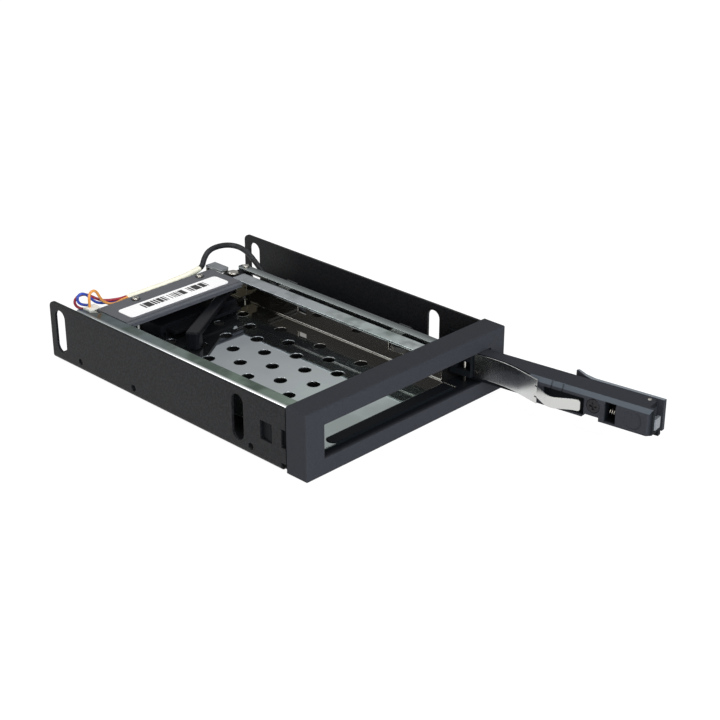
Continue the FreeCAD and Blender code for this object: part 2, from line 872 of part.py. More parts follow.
def make_cage():
    sheet = fuse("CageSheet", cage_shell(), cage_tongue(), side_spring(), lever_rest(),
                 *cage_rear_tab(), *link_guides())
    pivot = rod("PivotHole", d.pivot_radius, (pivot_x, pivot_y, cage_bottom - 1),
                d.cage_sheet + 2)
    node("drive_cage", cut_all("DriveCage", sheet, vent_tools() + [pivot]))
    posts = []
    for side in (-1, 1):
        for back in (d.standoff_front, d.standoff_rear):
            edge = cage_left if side < 0 else cage_right
            spot = (edge - d.standoff_inset * side, front + back, d.chassis_sheet)
            posts.append(rod(f"Standoff{len(posts)}", d.standoff_radius, spot,
                             cage_bottom - d.chassis_sheet))
    node("cage_standoffs", group("CageStandoffs", posts))


def place_on_door(obj):
    """Door pieces are drawn along X from the hinge, then swung to the open angle."""
    move(obj, hinge_x, hinge_y, 0)
    obj.Placement.Rotation = FreeCAD.Rotation(FreeCAD.Vector(0, 0, 1), 1)
    bind(obj, "Placement.Rotation.Angle", d.door_angle - 180)
    return obj


def inner_curve():
    """Inner face of the door: a heel at the hinge, the spring's seat, then a slope to the deep half."""
    return [
        (d.door_heel_end, -d.door_heel_depth),
        (d.door_heel_end + d.door_gap, d.door_seat),
        (d.door_bend, d.door_seat),
        (deep_start, -d.door_deep),
    ]


def door_shell():
    end = door_end
    outline = [(-d.door_heel, -d.door_heel_depth)] + inner_curve() + [
        (end - d.door_end_chamfer, -d.door_deep), (end, -d.door_deep + d.door_end_chamfer),
        (end, door_face), (-d.door_heel, door_face),
    ]
    shell = prism("DoorShell", "XY", outline, door_bottom, door_top)
    round_corners(shell, d.heel_radius, [(-d.door_heel, door_face)])
    round_corners(shell, d.heel_inner_radius, [(-d.door_heel, -d.door_heel_depth)])
    round_corners(shell, d.door_sweep, [(d.door_bend, d.door_seat)])
    return shell


def door_openings():
    """Everything cut from the door: hinge, spring room, bolt channel and latch pocket."""
    deep = -d.door_deep
    inside = deep - 1
    past_end = door_end + 1
    pin_x = door_end - d.latch_pin_inset
    pin_y = door_face - d.latch_pin_depth
    bolt_low = d.bolt_offset - d.bolt_width / 2 - d.bolt_gap
    bolt_high = d.bolt_offset + d.bolt_width / 2 + d.bolt_gap
    bolt_middle = d.bolt_bottom + d.bolt_height / 2
    pocket_end = pocket_start + d.spring_pocket_length
    pocket_low = d.door_inner_bottom + d.door_gap * 2
    lug_room = d.latch_lug_radius + 1.3
    lug_low = bolt_middle + d.bolt_height / 2 - d.latch_lug_height * 0.55
    notch_end = notch_start + d.door_notch_length
    notch_top = d.door_inner_bottom + d.door_notch_height
    return [
        box("UnderCut", (-d.door_heel - 1, past_end), (-d.door_deep * 2, skin_back),
            (door_bottom - 1, d.door_inner_bottom)),
        rod("HingeBore", d.hinge_pin_radius + d.running_gap, (0, 0, door_bottom - 1),
            door_top - door_bottom + 2),
        box("KnuckleGap", (-d.hinge_pin_radius * 4, d.hinge_pin_radius * 4),
            (-d.door_deep, d.hinge_pin_radius * 2),
            (d.knuckle_bottom, d.knuckle_bottom + d.knuckle_height)),
        prism("TopBevel", "YZ",
              [(deep, door_top - d.door_bevel_drop), (deep + d.door_bevel_width, door_top),
               (deep + d.door_bevel_width, door_top + 1), (inside, door_top + 1),
               (inside, door_top - d.door_bevel_drop)],
              deep_start * 0.9, past_end),
        box("TonguePocket", (tongue_start, tongue_start + d.tongue_pocket_length),
            (inside, deep + d.tongue_pocket_depth),
            (pocket_low, door_top - d.door_bevel_drop)),
        prism("BottomNotch", "XZ",
              [(notch_start - d.door_notch_height, d.door_inner_bottom - 1),
               (notch_end, d.door_inner_bottom - 1), (notch_end, notch_top),
               (notch_start, notch_top),
               (notch_start - d.door_notch_height, d.door_inner_bottom)],
              inside, skin_back),
        box("SpringPocket", (pocket_start, pocket_end), (inside, skin_back),
            (pocket_low, d.spring_pocket_top)),
        box("BoltChannel", (pocket_end, past_end), (bolt_low, bolt_high),
            (d.bolt_bottom - d.bolt_gap, d.bolt_bottom + d.bolt_height + d.bolt_gap)),
        box("LugPocket", (pin_x - lug_room, pin_x + lug_room),
            (bolt_low, door_face + 1),
            (lug_low - d.bolt_gap, lug_low + d.latch_lug_height + d.bolt_gap)),
        box("EndRelief", (pin_x, past_end), (door_face - d.latch_relief, door_face + 1),
            (door_bottom - 1, door_top + 1)),
        box("EndRecess", (door_end - d.bolt_height / 2, past_end), (bolt_low, door_face + 1),
            (d.door_inner_bottom + d.door_gap * 3, door_top + 1)),
        rod("ScrewSink", d.door_screw_head + d.bolt_gap,
            (screw_x, inside, d.door_screw_height), d.door_screw_sink + 1, "Y"),
        rod("ScrewHole", d.door_screw_radius,
            (screw_x, inside, d.door_screw_height), d.door_deep + 1 + skin_back, "Y"),
        rod("RoundMark", d.mark_radius, (mark_x, inside, d.mark_height), d.mark_depth + 1, "Y"),
    ] + bevel_ticks()


def bevel_ticks():
    """Two thin grooves across the bevel above the spring's tongue."""
    slope = [(-d.door_deep - 1, door_top - d.door_bevel_drop - d.tick_width / 2),
             (-d.door_deep + d.tick_width / 2, door_top - d.door_bevel_drop - d.tick_width / 2),
             (-d.door_deep + d.door_bevel_width + d.tick_width / 2, door_top),
             (-d.door_deep + d.door_bevel_width + d.tick_width / 2, door_top + 1),
             (-d.door_deep - 1, door_top + 1)]
    grooves = []
    for index in range(2):
        low = tick_x + d.tick_spacing * index
        grooves.append(prism(f"BevelTick{index}", "YZ", slope, low, low + d.tick_width))
    return grooves


def make_door():
    pin_x = door_end - d.latch_pin_inset
    pin_y = door_face - d.latch_pin_depth
    hollow = cut("DoorHollow", door_shell(), *door_openings())
    boss_low = d.bolt_bottom + d.bolt_height + d.latch_lug_height * 0.45 + d.bolt_gap
    boss = rod("PinBoss", d.latch_pin_depth, (pin_x, pin_y, boss_low), door_top - boss_low)
    bore = rod("LatchPinBore", d.latch_pin_radius, (pin_x, pin_y, d.door_inner_bottom + d.door_gap),
               door_top - d.door_inner_bottom)
    body = cut("DoorBody", fuse("DoorBossed", hollow, boss), bore)
    node("door_body", place_on_door(body))
    head_low = -d.door_deep + d.bolt_gap
    head = rod("DoorScrewHead", d.door_screw_head, (screw_x, head_low, d.door_screw_height),
               d.door_screw_sink - d.bolt_gap, "Y")
    shank = rod("DoorScrewShank", d.door_screw_radius,
                (screw_x, -d.door_deep + d.door_screw_sink, d.door_screw_height),
                d.door_deep - d.door_screw_sink + skin_back, "Y")
    screw = fuse("DoorScrewBlank", head, shank)
    cross = cross_recess("DoorCross", screw_x, d.door_screw_height, d.door_screw_head,
                         head_low - 1, head_low + d.door_screw_sink / 2, "Y")
    node("door_screw", place_on_door(cut("DoorScrew", screw, *cross)))


def cross_recess(name, across, up, head, low, high, axis):
    """Two crossed bars that make the driver recess of a screw head."""
    reach = head * 0.6
    thin = head * 0.17
    pieces = []
    for index, (wide, tall) in enumerate(((reach, thin), (thin, reach))):
        first = (across - wide, across + wide)
        second = (up - tall, up + tall)
        if axis == "Y":
            pieces.append(box(f"{name}{index}", first, (low, high), second))
        else:
            pieces.append(box(f"{name}{index}", first, second, (low, high)))
    return pieces


def make_leaf_spring():
    """Thin strip that sweeps off the door's inner face and ends in a bowed tongue."""
    t = d.leaf_thickness
    seat = d.door_seat - d.fit_gap
    foot_x = deep_start + d.leaf_overrun
    foot_y = -d.door_deep - d.leaf_stand_off
    strip = [(d.leaf_start, seat), (d.door_bend, seat), (foot_x, foot_y)]
    low = d.door_inner_bottom + d.door_gap
    wide = prism("LeafWide", "XY", strip + [(x, y - t) for x, y in reversed(strip)],
                 low, low + d.leaf_height)
    round_corners(wide, d.door_sweep + t, [(d.door_bend, seat)])
    round_corners(wide, d.door_sweep, [(d.door_bend, seat - t)])
    reach = d.leaf_tongue_length
    bow = d.leaf_bow
    crest_x, crest_y = foot_x + reach * 0.42, foot_y - bow
    ease_x, ease_y = foot_x + reach * 0.85, foot_y - bow * 0.22
    tongue = [(foot_x, foot_y), (crest_x, crest_y), (ease_x, ease_y),
              (foot_x + reach, foot_y - bow * 0.14)]
    narrow_low = low + d.leaf_tongue_lift
    narrow_high = narrow_low + d.leaf_tongue_height
    narrow = prism("LeafTongue", "XY", tongue + [(x, y - t) for x, y in reversed(tongue)],
                   narrow_low, narrow_high)
    round_corners(narrow, d.leaf_bow_radius, [(crest_x, crest_y)])
    round_corners(narrow, d.leaf_bow_radius + t, [(crest_x, crest_y - t)])
    round_corners(narrow, d.leaf_tip_radius + t, [(ease_x, ease_y)])
    round_corners(narrow, d.leaf_tip_radius, [(ease_x, ease_y - t)])
    end = (foot_x + reach).number
    tall = d.leaf_tongue_height.number

    def tip_corner(middle, way):
        return abs(way.y) > 0.99 and near(middle.x, end) and (near(middle.z, 0) or near(middle.z, tall))

    round_edges(narrow, d.leaf_tongue_corner, tip_corner)
    notches = []
    for index, middle in enumerate((narrow_low, narrow_high)):
        spread = d.leaf_relief / 5
        notches.append(box(f"LeafRelief{index}", (foot_x - d.leaf_relief, foot_x + 1),
                           (foot_y - 2, foot_y + 2), (middle - spread, middle + spread)))
    strip_cut = cut_all("LeafRelieved", wide, notches)
    node("door_spring", place_on_door(fuse("DoorSpring", strip_cut, narrow)))


def make_latch():
    pin_x = door_end - d.latch_pin_inset
    pin_y = door_face - d.latch_pin_depth
    bolt_middle = d.bolt_bottom + d.bolt_height / 2
    lug_low = bolt_middle + d.bolt_height / 2 - d.latch_lug_height * 0.55
    back = door_face + d.latch_gap
    face = back + d.latch_plate
    end = door_end - d.latch_end_inset
    flare = latch_x - d.latch_flare_length
    rise = d.latch_flare_rise
    plate = prism("LatchPlate", "XY",
                  [(end, back), (end, face), (latch_x + 1, face),
                   (latch_x - d.latch_flare_length * 0.4, face + rise * 0.35),
                   (flare + d.latch_plate * 0.4, face + rise),
                   (flare, face + rise - d.latch_plate * 0.6),
                   (latch_x - d.latch_flare_length * 0.45, back + rise * 0.45),
                   (latch_x, back)],
                  door_bottom + d.door_gap, door_top)
    plate_tall = (door_top - door_bottom - d.door_gap).number

    def top_face_edge(middle, way):
        return near(middle.z, plate_tall) and middle.y > face.number - 0.01

    round_edges(plate, d.latch_edge_radius, top_face_edge)
    lug_round = rod("LugRound", d.latch_lug_radius, (pin_x, pin_y, lug_low), d.latch_lug_height)
    lug_neck = box("LugNeck", (pin_x - d.latch_lug_radius, pin_x + d.latch_lug_radius),
                   (pin_y, face), (lug_low, lug_low + d.latch_lug_height))
    nose_half = d.latch_pin_radius * 0.6
    nose = box("LugNose", (pin_x - nose_half, pin_x + nose_half), (d.bolt_offset, pin_y),
               (lug_low + d.bolt_gap, bolt_middle))
    bore = rod("LugBore", d.latch_pin_radius + d.running_gap, (pin_x, pin_y, lug_low - 1),
               d.latch_lug_height + 2)
    lever = cut("LatchLever", fuse("LatchBlank", plate, lug_round, lug_neck, nose), bore)
    node("latch_lever", place_on_door(lever))
    pin_low = d.door_inner_bottom + d.door_gap
    pin = rod("LatchPin", d.latch_pin_radius, (pin_x, pin_y, pin_low), door_top - pin_low + d.latch_gap)
    node("latch_pin", place_on_door(group("LatchPinPlaced", [pin])))
    make_bolt(pin_x, nose_half, bolt_middle)


def make_bolt(pin_x, nose_half, bolt_middle):
    low = d.bolt_offset - d.bolt_width / 2
    high = d.bolt_offset + d.bolt_width / 2
    tip = door_end + d.bolt_reach
    rear = tip - d.bolt_length
    bevel = d.bolt_width / 4
    head = tip - d.bolt_head_rise
    block = prism("BoltBlock", "XY",
                  [(rear, low), (tip - bevel, low), (tip, low + bevel), (tip, high + d.bolt_head_rise),
                   (head, high + d.bolt_head_rise), (head, high), (rear, high)],
                  d.bolt_bottom, d.bolt_bottom + d.bolt_height)
    play = nose_half + 0.4
    notch = box("BoltNotch", (pin_x - play, pin_x + play), (d.bolt_offset - d.bolt_gap, high + 1),
                (d.bolt_bottom - 1, d.bolt_bottom + d.bolt_height + 1))
    stem = rod("BoltStem", d.bolt_stem_radius, (rear - d.bolt_stem_length, d.bolt_offset, bolt_middle),
               d.bolt_stem_length, "X")
    bolt = fuse("LatchBolt", cut("BoltNotched", block, notch), stem)
    node("latch_bolt", place_on_door(bolt))
    coil_start = pocket_start + d.door_gap
    outer = rod("CoilOuter", d.coil_radius, (coil_start, d.bolt_offset, bolt_middle), d.coil_length, "X")
    inner = rod("CoilInner", d.coil_radius - d.coil_wire,
                (coil_start - 1, d.bolt_offset, bolt_middle), d.coil_length + 2, "X")
    node("latch_spring", place_on_door(cut("LatchSpring", outer, inner)))


def make_link():
    """Flat bar with a folded foot that the door's heel pushes, and a rivet at its tail."""
    low = front + d.link_front
    right = link_left + d.link_width
    rear = pivot_y + d.link_tail
    bar = prism("LinkBar", "XY",
                [(link_left, low), (link_left + d.link_foot_width, low),
                 (link_left + d.link_foot_width, low + d.link_foot_length),
                 (right, low + d.link_foot_length), (right, rear), (link_left, rear)],
                link_bottom, link_top)
    round_corners(bar, d.link_width * 0.45, [(right, rear), (link_left, rear)])
    foot = box("LinkFoot", (link_left + d.link_sheet * 2, link_left + d.link_foot_width),
               (low, low + d.link_sheet), (d.door_inner_bottom + d.door_gap * 2, link_top))
    hole = rod("LinkHole", d.link_rivet_radius, (rivet_x, pivot_y, link_bottom - 1), d.link_sheet + 2)
    node("link_bar", cut("Link", fuse("LinkBlank", bar, foot), hole))
    crank_top = d.lever_hub_top - d.crank_slack * 2
    tail_top = crank_top - d.crank_sheet - d.crank_slack
    tail_low = tail_top - d.head_height / 2
    tail = d.link_rivet_head + d.crank_slack * 3
    head_top = link_top + d.head_height
    rivet = turned("LinkRivet",
                   [(0, tail_low), (tail, tail_low), (tail, tail_top), (d.link_rivet_radius, tail_top),
                    (d.link_rivet_radius, link_top), (d.link_rivet_head, link_top),
                    (d.link_rivet_head, head_top), (0, head_top)],
                   rivet_x, pivot_y)
    node("link_rivet", round_rims(rivet, d.head_height * 0.8, head_top))


def make_lever():
    """Bell crank: a hub on the big rivet, a long arm with a finger and a short slotted crank."""
    bottom = cage_floor + d.lever_lift
    half = d.lever_width / 2
    root = d.lever_root_width / 2
    beam_low = d.lever_top - d.lever_beam
    beam = prism("LeverBeam", "XY",
                 [(0, -root), (d.lever_length, -half), (d.lever_length, half), (0, root)],
                 beam_low, d.lever_top)
    finger_start = d.lever_length - d.lever_finger
    thin = half * 0.9
    finger = prism("LeverFinger", "XY",
                   [(finger_start, -thin), (d.lever_length, -thin),
                    (d.lever_length, thin), (finger_start, thin)],
                   bottom, beam_low + d.lever_beam / 2)
    round_corners(beam, half * 0.5, [(d.lever_length, -half), (d.lever_length, half)])
    round_corners(finger, half * 0.5, [(d.lever_length, -thin), (d.lever_length, thin)])

    def top_end(middle, way):
        return near(middle.z, d.lever_beam) and near(middle.x, d.lever_length)

    round_edges(beam, d.lever_edge_radius, top_end)
    arm = fuse("LeverArm", beam, finger)
    move(arm, pivot_x, pivot_y, 0)
    arm.Placement.Rotation = FreeCAD.Rotation(FreeCAD.Vector(0, 0, 1), 1)
    bind(arm, "Placement.Rotation.Angle", d.lever_angle + 180)
    hub = rod("LeverHub", d.lever_hub, (pivot_x, pivot_y, bottom), d.lever_hub_top - bottom)
    crank_top = d.lever_hub_top - d.crank_slack * 2
    reach_end = rivet_x + d.crank_play + d.link_rivet_radius + d.crank_slack * 6
    crank = box("LeverCrank", (pivot_x, reach_end), (pivot_y - half, pivot_y + half),
                (crank_top - d.crank_sheet, crank_top))
    slot_spot = (rivet_x + d.crank_play / 2, pivot_y, crank_top - d.crank_sheet - 1)
    slot = slot_tool("CrankSlot", "Z", slot_spot, d.crank_sheet + 2,
                     d.link_rivet_radius * 2 + d.crank_slack * 2, ("X", d.crank_play / 2))
    bore = rod("LeverBore", d.pivot_radius + d.running_gap, (pivot_x, pivot_y, bottom - 1),
               d.lever_hub_top - bottom + 2)
    node("ejector_lever", cut("EjectorLever", fuse("LeverBlank", hub, arm, crank), slot, bore))
    head_low = d.lever_hub_top + d.crank_slack
    head_top = head_low + d.pivot_head_height
    tail_low = cage_bottom - d.head_height
    rivet = turned("PivotRivet",
                   [(0, tail_low), (d.pivot_head, tail_low), (d.pivot_head, cage_bottom),
                    (d.pivot_radius, cage_bottom), (d.pivot_radius, head_low), (d.pivot_head, head_low),
                    (d.pivot_head, head_top), (0, head_top)],
                   pivot_x, pivot_y)
    node("pivot_rivet", round_rims(rivet, d.pivot_head_height * 0.8, head_top))


def post_spots():
    middle = post_middle
    return [(middle - d.post_spread / 2, front + d.post_back),
            (middle + d.post_spread / 2, front + d.post_back)]


def make_board():
    board = box("Board", (board_left, board_right), (front + d.board_front, board_rear),
                (d.board_height, board_top))
    holes = []
    for index, (x, y) in enumerate(post_spots()):
        holes.append(rod(f"BoardHole{index}", d.cover_screw_radius + d.fit_gap,
                         (x, y, d.board_height - 1), d.board_sheet + 2))
    node("circuit_board", cut_all("CircuitBoard", board, holes))
    screw_low = cover_top - d.cover_screw_length
    posts = []
    for index, (x, y) in enumerate(post_spots()):
        post = rod(f"Post{index}", d.post_radius, (x, y, cage_floor), d.board_height - cage_floor)
        bore = rod(f"PostBore{index}", d.cover_screw_radius, (x, y, screw_low),
                   d.board_height - screw_low + 1)
        posts.append(cut(f"PostDrilled{index}", post, bore))
    node("board_posts", group("BoardPosts", posts))


def make_receptacle():
    """Ribbed socket that the drive plugs into, with a riser up to the board."""
    right = cage_right - d.receptacle_inset
    left = right - d.receptacle_width
    low = front + d.receptacle_front
    rear = low + d.receptacle_depth
    top = cage_floor + d.receptacle_height
    base = box("ReceptacleBase", (left, right), (low, rear), (cage_floor, top))
    middle = post_middle
    riser_front = rear - d.plug_wall
    riser = box("ReceptacleRiser",
                (middle - d.receptacle_riser_width / 2, middle + d.receptacle_riser_width / 2),
                (riser_front, riser_front + d.receptacle_riser_depth), (cage_floor, d.board_height))
    centre = (left + right) / 2
    blade_low = cage_floor + d.receptacle_height / 2
    blade = box("ReceptacleBlade", (centre - d.blade_width / 2, centre + d.blade_width / 2),
                (low - d.blade_length, low), (blade_low, blade_low + d.blade_sheet))
    pitch = d.receptacle_width / RECEPTACLE_RIBS
    ribs = []
    for index in range(RECEPTACLE_RIBS):
        start = left + pitch * (index + (1 - RIB_SLOT_SHARE) / 2)
        ribs.append(box(f"RibSlot{index}", (start, start + pitch * RIB_SLOT_SHARE),
                        (low - 1, low + d.blade_sheet), (cage_floor - 1, blade_low - d.blade_sheet / 2)))
    node("drive_receptacle", cut_all("DriveReceptacle", fuse("ReceptacleBlank", base, riser, blade), ribs))


def make_plug():
    """Rear connector under the board's edge, open to the rear round its blade."""
    middle = post_middle
    rear = board_rear
    half = d.plug_width / 2
    low = d.board_height - d.plug_height
    w = d.plug_wall
    shell = box("PlugShell", (middle - half, middle + half), (rear - d.plug_depth, rear),
                (low, d.board_height))
    room = box("PlugRoom", (middle - half + w, middle + half - w), (rear - d.plug_depth + w, rear + 1),
               (low + w, d.board_height - w))
    blade_low = low + d.plug_height / 2 - w / 2
    blade = box("PlugBlade", (middle - half + w * 2, middle + half - w * 2),
                (rear - d.plug_depth + w / 2, rear - w), (blade_low, blade_low + w))
    node("host_plug", fuse("HostPlug", cut("PlugHollow", shell, room), blade))


def make_cover():
    """Black plate between the rails with a two-banded front lip and two screw bosses."""
    left = left_rail_edge + d.cover_gap
    right = right_rail_edge - d.cover_gap
    low = front + d.cover_front
    rear = front + d.cover_rear
    plate = box("CoverPlate", (left, right), (low, rear), (cover_bottom, cover_top))
    lip_top = cover_top - d.cover_lip_step
    nose = low - d.cover_lip
    brow = lip_top - d.cover_lip_height / 2
    chin = low - d.cover_lip * 0.6
    lip = prism("CoverLip", "YZ",
                [(low, lip_top), (nose, lip_top), (nose, brow), (chin, brow),
                 (chin, lip_top - d.cover_lip_height), (low, lip_top - d.cover_lip_height)],
                left, right)

    def nose_edge(middle, way):
        return abs(way.x) > 0.99 and near(middle.y, nose)

    def chin_edge(middle, way):
        return abs(way.x) > 0.99 and near(middle.y, chin) and not near(middle.z, brow)

    round_edges(lip, d.cover_lip_height / 5, nose_edge)
    round_edges(lip, d.cover_lip_height / 5, chin_edge)
    bosses = []
    holes = []
    for index, (x, y) in enumerate(post_spots()):
        bosses.append(rod(f"CoverBoss{index}", d.post_radius, (x, y, board_top), cover_bottom - board_top))
        hole = rod(f"CoverHole{index}", d.cover_screw_radius + d.fit_gap, (x, y, board_top - 1),
                   cover_top - board_top + 2)
        ring = rod(f"CoverRing{index}", d.cover_screw_ring, (x, y, cover_top - d.cover_screw_sink),
                   d.cover_screw_sink + 1)
        holes.append(fuse(f"CoverSunkHole{index}", hole, ring))
    node("rear_cover", cut_all("RearCover", fuse("CoverBlank", plate, lip, *bosses), holes))
    make_cover_screws()
    make_label(left, right, low)


def make_cover_screws():
    low = cover_top - d.cover_screw_length
    seat = cover_top - d.cover_screw_sink
    top = seat + d.cover_screw_head_height
    screws = []
    for index, (x, y) in enumerate(post_spots()):
        blank = turned(f"CoverScrewBlank{index}",
                       [(0, low), (d.cover_screw_radius, low), (d.cover_screw_radius, seat),
                        (d.cover_screw_head, seat), (d.cover_screw_head, top), (0, top)],
                       x, y)
        round_rims(blank, d.cover_screw_head_height * 0.6, top)
        cross = cross_recess(f"CoverCross{index}", x, y, d.cover_screw_head,
                             top - d.cover_screw_head_height / 2, top + 1, "Z")
        screws.append(cut(f"CoverScrew{index}", blank, *cross))
    node("cover_screws", group("CoverScrews", screws))


def make_label(left, right, low):
    x_low = left + d.label_margin
    x_high = right - d.label_margin
    y_low = low + d.label_setback
    y_high = y_low + d.label_width
    label = prism("Label", "XY", [(x_low, y_low), (x_high, y_low), (x_high, y_high), (x_low, y_high)],
                  cover_top, cover_top + d.label_sheet)
    corners = [(x_low, y_low), (x_high, y_low), (x_high, y_high), (x_low, y_high)]
    node("cover_label", round_corners(label, d.label_corner, corners))


def make_wire_ends():
    """Pale socket on the board's rear corner, and the block that holds the lead's front end."""
    left = board_left + d.socket_inset
    right = left + d.socket_width
    rear = board_rear + d.socket_overhang
    low = rear - d.socket_depth
    shell = box("SocketShell", (left, right), (low, rear), (board_top, board_top + d.socket_height))
    wall = d.socket_height / 4
    room = box("SocketRoom", (left + wall, right - wall), (low - 1, rear - d.socket_depth / 2),
               (board_top + wall, board_top + d.socket_height - wall))
    node("wire_socket", cut("WireSocket", shell, room))
    x_low = window_right + d.holder_gap
    holder = box("LeadHolder", (x_low, x_low + d.holder_width),
                 (chassis_front, chassis_front + d.holder_depth),
                 (d.holder_bottom, d.holder_bottom + d.holder_height))
    node("lead_holder", holder)


def cord_path(points):
    """Straight runs joined by tangent arcs, each as large as its two runs allow."""
    edges = []
    radii = []
    start = points[0]
    for before, corner, after in zip(points, points[1:], points[2:]):
        into = (corner - before).normalize()
        out = (after - corner).normalize()
        turn = into.getAngle(out)
        trim = 0.45 * min((corner - before).Length, (after - corner).Length)
        radius = trim / math.tan(turn / 2)
        begin = corner - into * trim
        finish = corner + out * trim
        inward = (out - into).normalize()
        middle = corner + inward * (radius / math.cos(turn / 2) - radius)
        edges.append(Part.LineSegment(start, begin).toShape())
        edges.append(Part.Arc(begin, middle, finish).toShape())
        radii.append(radius)
        start = finish
    edges.append(Part.LineSegment(start, points[-1]).toShape())
    return Part.Wire(edges), min(radii)


def places(x, y, z, offsets):
    """Points measured from one place of the model."""
    start = FreeCAD.Vector(size(x).number, size(y).number, size(z).number)
    return [start + FreeCAD.Vector(*offset) for offset in offsets]


def cord(label, radius, points):
    """A plain tube along its route, which is kept as a computed shape."""
    path, smallest = cord_path(points)
    way = (points[1] - points[0]).normalize()
    ring = Part.Wire([Part.Circle(points[0], way, radius.number).toShape()])
    tube = path.makePipeShell([ring], True, False)
    full = math.pi * radius.number ** 2 * path.Length
    print(f"{label}: length {path.Length:.1f}, smallest bend {smallest:.2f}, "
          f"volume {tube.Volume:.2f} of {full:.2f}")
    obj = DOC.addObject("Part::Feature", label)
    obj.Shape = tube
    node(label, obj)


# routes, as steps from the board's rear left corner, on its top
WIRE_LOOPS = {
    "wire_red": [
        (2.4, 0.2, 0.8), (2.4, 2.1, 0.8), (1.5, 3.9, 0.8), (0.5, 5.0, 1.9), (0.2, 5.3, 3.7),
        (1.3, 5.2, 5.1), (3.2, 5.0, 5.7), (5.3, 4.5, 5.4), (7.2, 3.6, 4.3), (8.9, 2.6, 3.0),
        (10.7, 1.7, 2.1), (12.8, 0.7, 1.75), (15.0, -0.4, 1.75), (17.4, -1.2, 1.66), (20.1, -1.2, 1.66)],
    "wire_blue": [
        (4.4, 0.2, 2.0), (4.4, 1.7, 2.0), (3.1, 2.8, 2.1), (1.5, 3.3, 2.8), (0.5, 3.6, 4.3),
        (0.8, 3.7, 6.1), (2.3, 3.5, 6.9), (4.0, 3.1, 6.3), (5.4, 2.7, 4.9), (6.8, 2.5, 3.2),
        (8.4, 2.4, 1.7), (10.3, 2.2, 0.9), (12.3, 1.5, 0.65), (14.2, 0.4, 0.6), (16.0, -0.9, 0.6),
        (18.0, -1.8, 0.6), (20.1, -1.8, 0.6)],
    "wire_orange": [
        (2.6, -1.2, 2.6), (2.6, -1.2, 5.2), (2.9, -0.9, 7.2), (4.1, -0.8, 8.5), (5.8, -0.7, 8.4),
        (7.0, -0.6, 7.1), (7.9, -0.4, 5.4), (8.9, -0.2, 3.8), (10.1, -0.2, 2.3), (11.7, -0.9, 1.1),
        (13.6, -1.7, 0.75), (15.5, -2.3, 1.1), (17.6, -2.4, 1.66), (20.1, -2.4, 1.66)],
}
SLEEVE_START = [(20.1, -1.8, 1.3), (31.6, -1.8, 1.3), (44.1, -1.6, 1.4)]
# routes, as steps from the right rail's outer edge at the board's rear, on the board's top
SLEEVE_END = [(-18.3, -0.9, 1.4), (-13.6, 0.0, 1.35), (-9.7, 1.29, 1.26)]
LEAD_START = [
    (-4.2, 3.1, 3.9), (-0.8, 3.3, 6.4), (3.6, 3.2, 6.8), (7.9, 2.4, 6.4), (10.8, -0.6, 5.7),
    (11.5, -4.8, 4.9), (11.6, -9.0, 3.5), (11.8, -13.0, 1.7), (12.1, -16.8, -0.5), (12.4, -20.5, -2.9),
    (12.7, -24.0, -5.5), (13.1, -27.5, -8.1), (13.6, -31.0, -10.8)]
# routes, as steps from the mouth of the lead's holder
LEAD_END = [
    (-3.0, 80.0, -1.7), (-3.1, 70.0, -2.5), (-3.3, 54.0, -2.6), (-2.6, 32.0, -2.5), (-1.2, 16.0, -1.7),
    (0, 7.0, 0), (0, 0, 0)]
LEAD_SHARE = 0.65


def make_wiring():
    for label, offsets in WIRE_LOOPS.items():
        cord(label, d.wire_radius, places(board_left, board_rear, board_top, offsets))
    sleeve = places(board_left, board_rear, board_top, SLEEVE_START)
    sleeve += places(cage_right, board_rear, board_top, SLEEVE_END)
    cord("wire_sleeve", d.sleeve_radius, sleeve)
    end = sleeve[-1]
    lead = [end, end + (end - sleeve[-2]) * LEAD_SHARE]
    lead += places(cage_right, board_rear, board_top, LEAD_START)
    mouth = (window_right + d.holder_gap + d.holder_width / 2, chassis_front + d.holder_depth,
             d.holder_bottom + d.holder_height / 2)
    lead += places(*mouth, LEAD_END)
    cord("lead_cable", d.lead_radius, lead)


def check_and_write():
    DOC.recompute()
    for obj in DOC.Objects:
        if "Invalid" in obj.State or "Error" in obj.State:
            raise RuntimeError(f"{obj.Name} failed: {obj.State}")
    os.makedirs("parts", exist_ok=True)
    for obj in NODES:
        shape = obj.Shape
        if shape.isNull() or not shape.isValid():
            raise RuntimeError(f"{obj.Label} has no valid shape")
        shape.exportStep(os.path.join("parts", obj.Label + ".step"))
        bounds = shape.BoundBox
        print(f"{obj.Label}: {len(shape.Solids)} solids, {shape.Volume:.1f} mm3, "
              f"{bounds.XLength:.1f} x {bounds.YLength:.1f} x {bounds.ZLength:.1f}")


make_chassis()
make_bezel()
make_cage()
make_door()
make_leaf_spring()
make_latch()
make_link()
make_lever()
make_board()
make_receptacle()
make_plug()
make_cover()
make_wire_ends()
make_wiring()
check_and_write()
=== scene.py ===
"""Looks of the drive rack: finishes, wound coil, wires, printed label, light and camera."""
import math

import bmesh
import bpy
from mathutils import Matrix, Vector


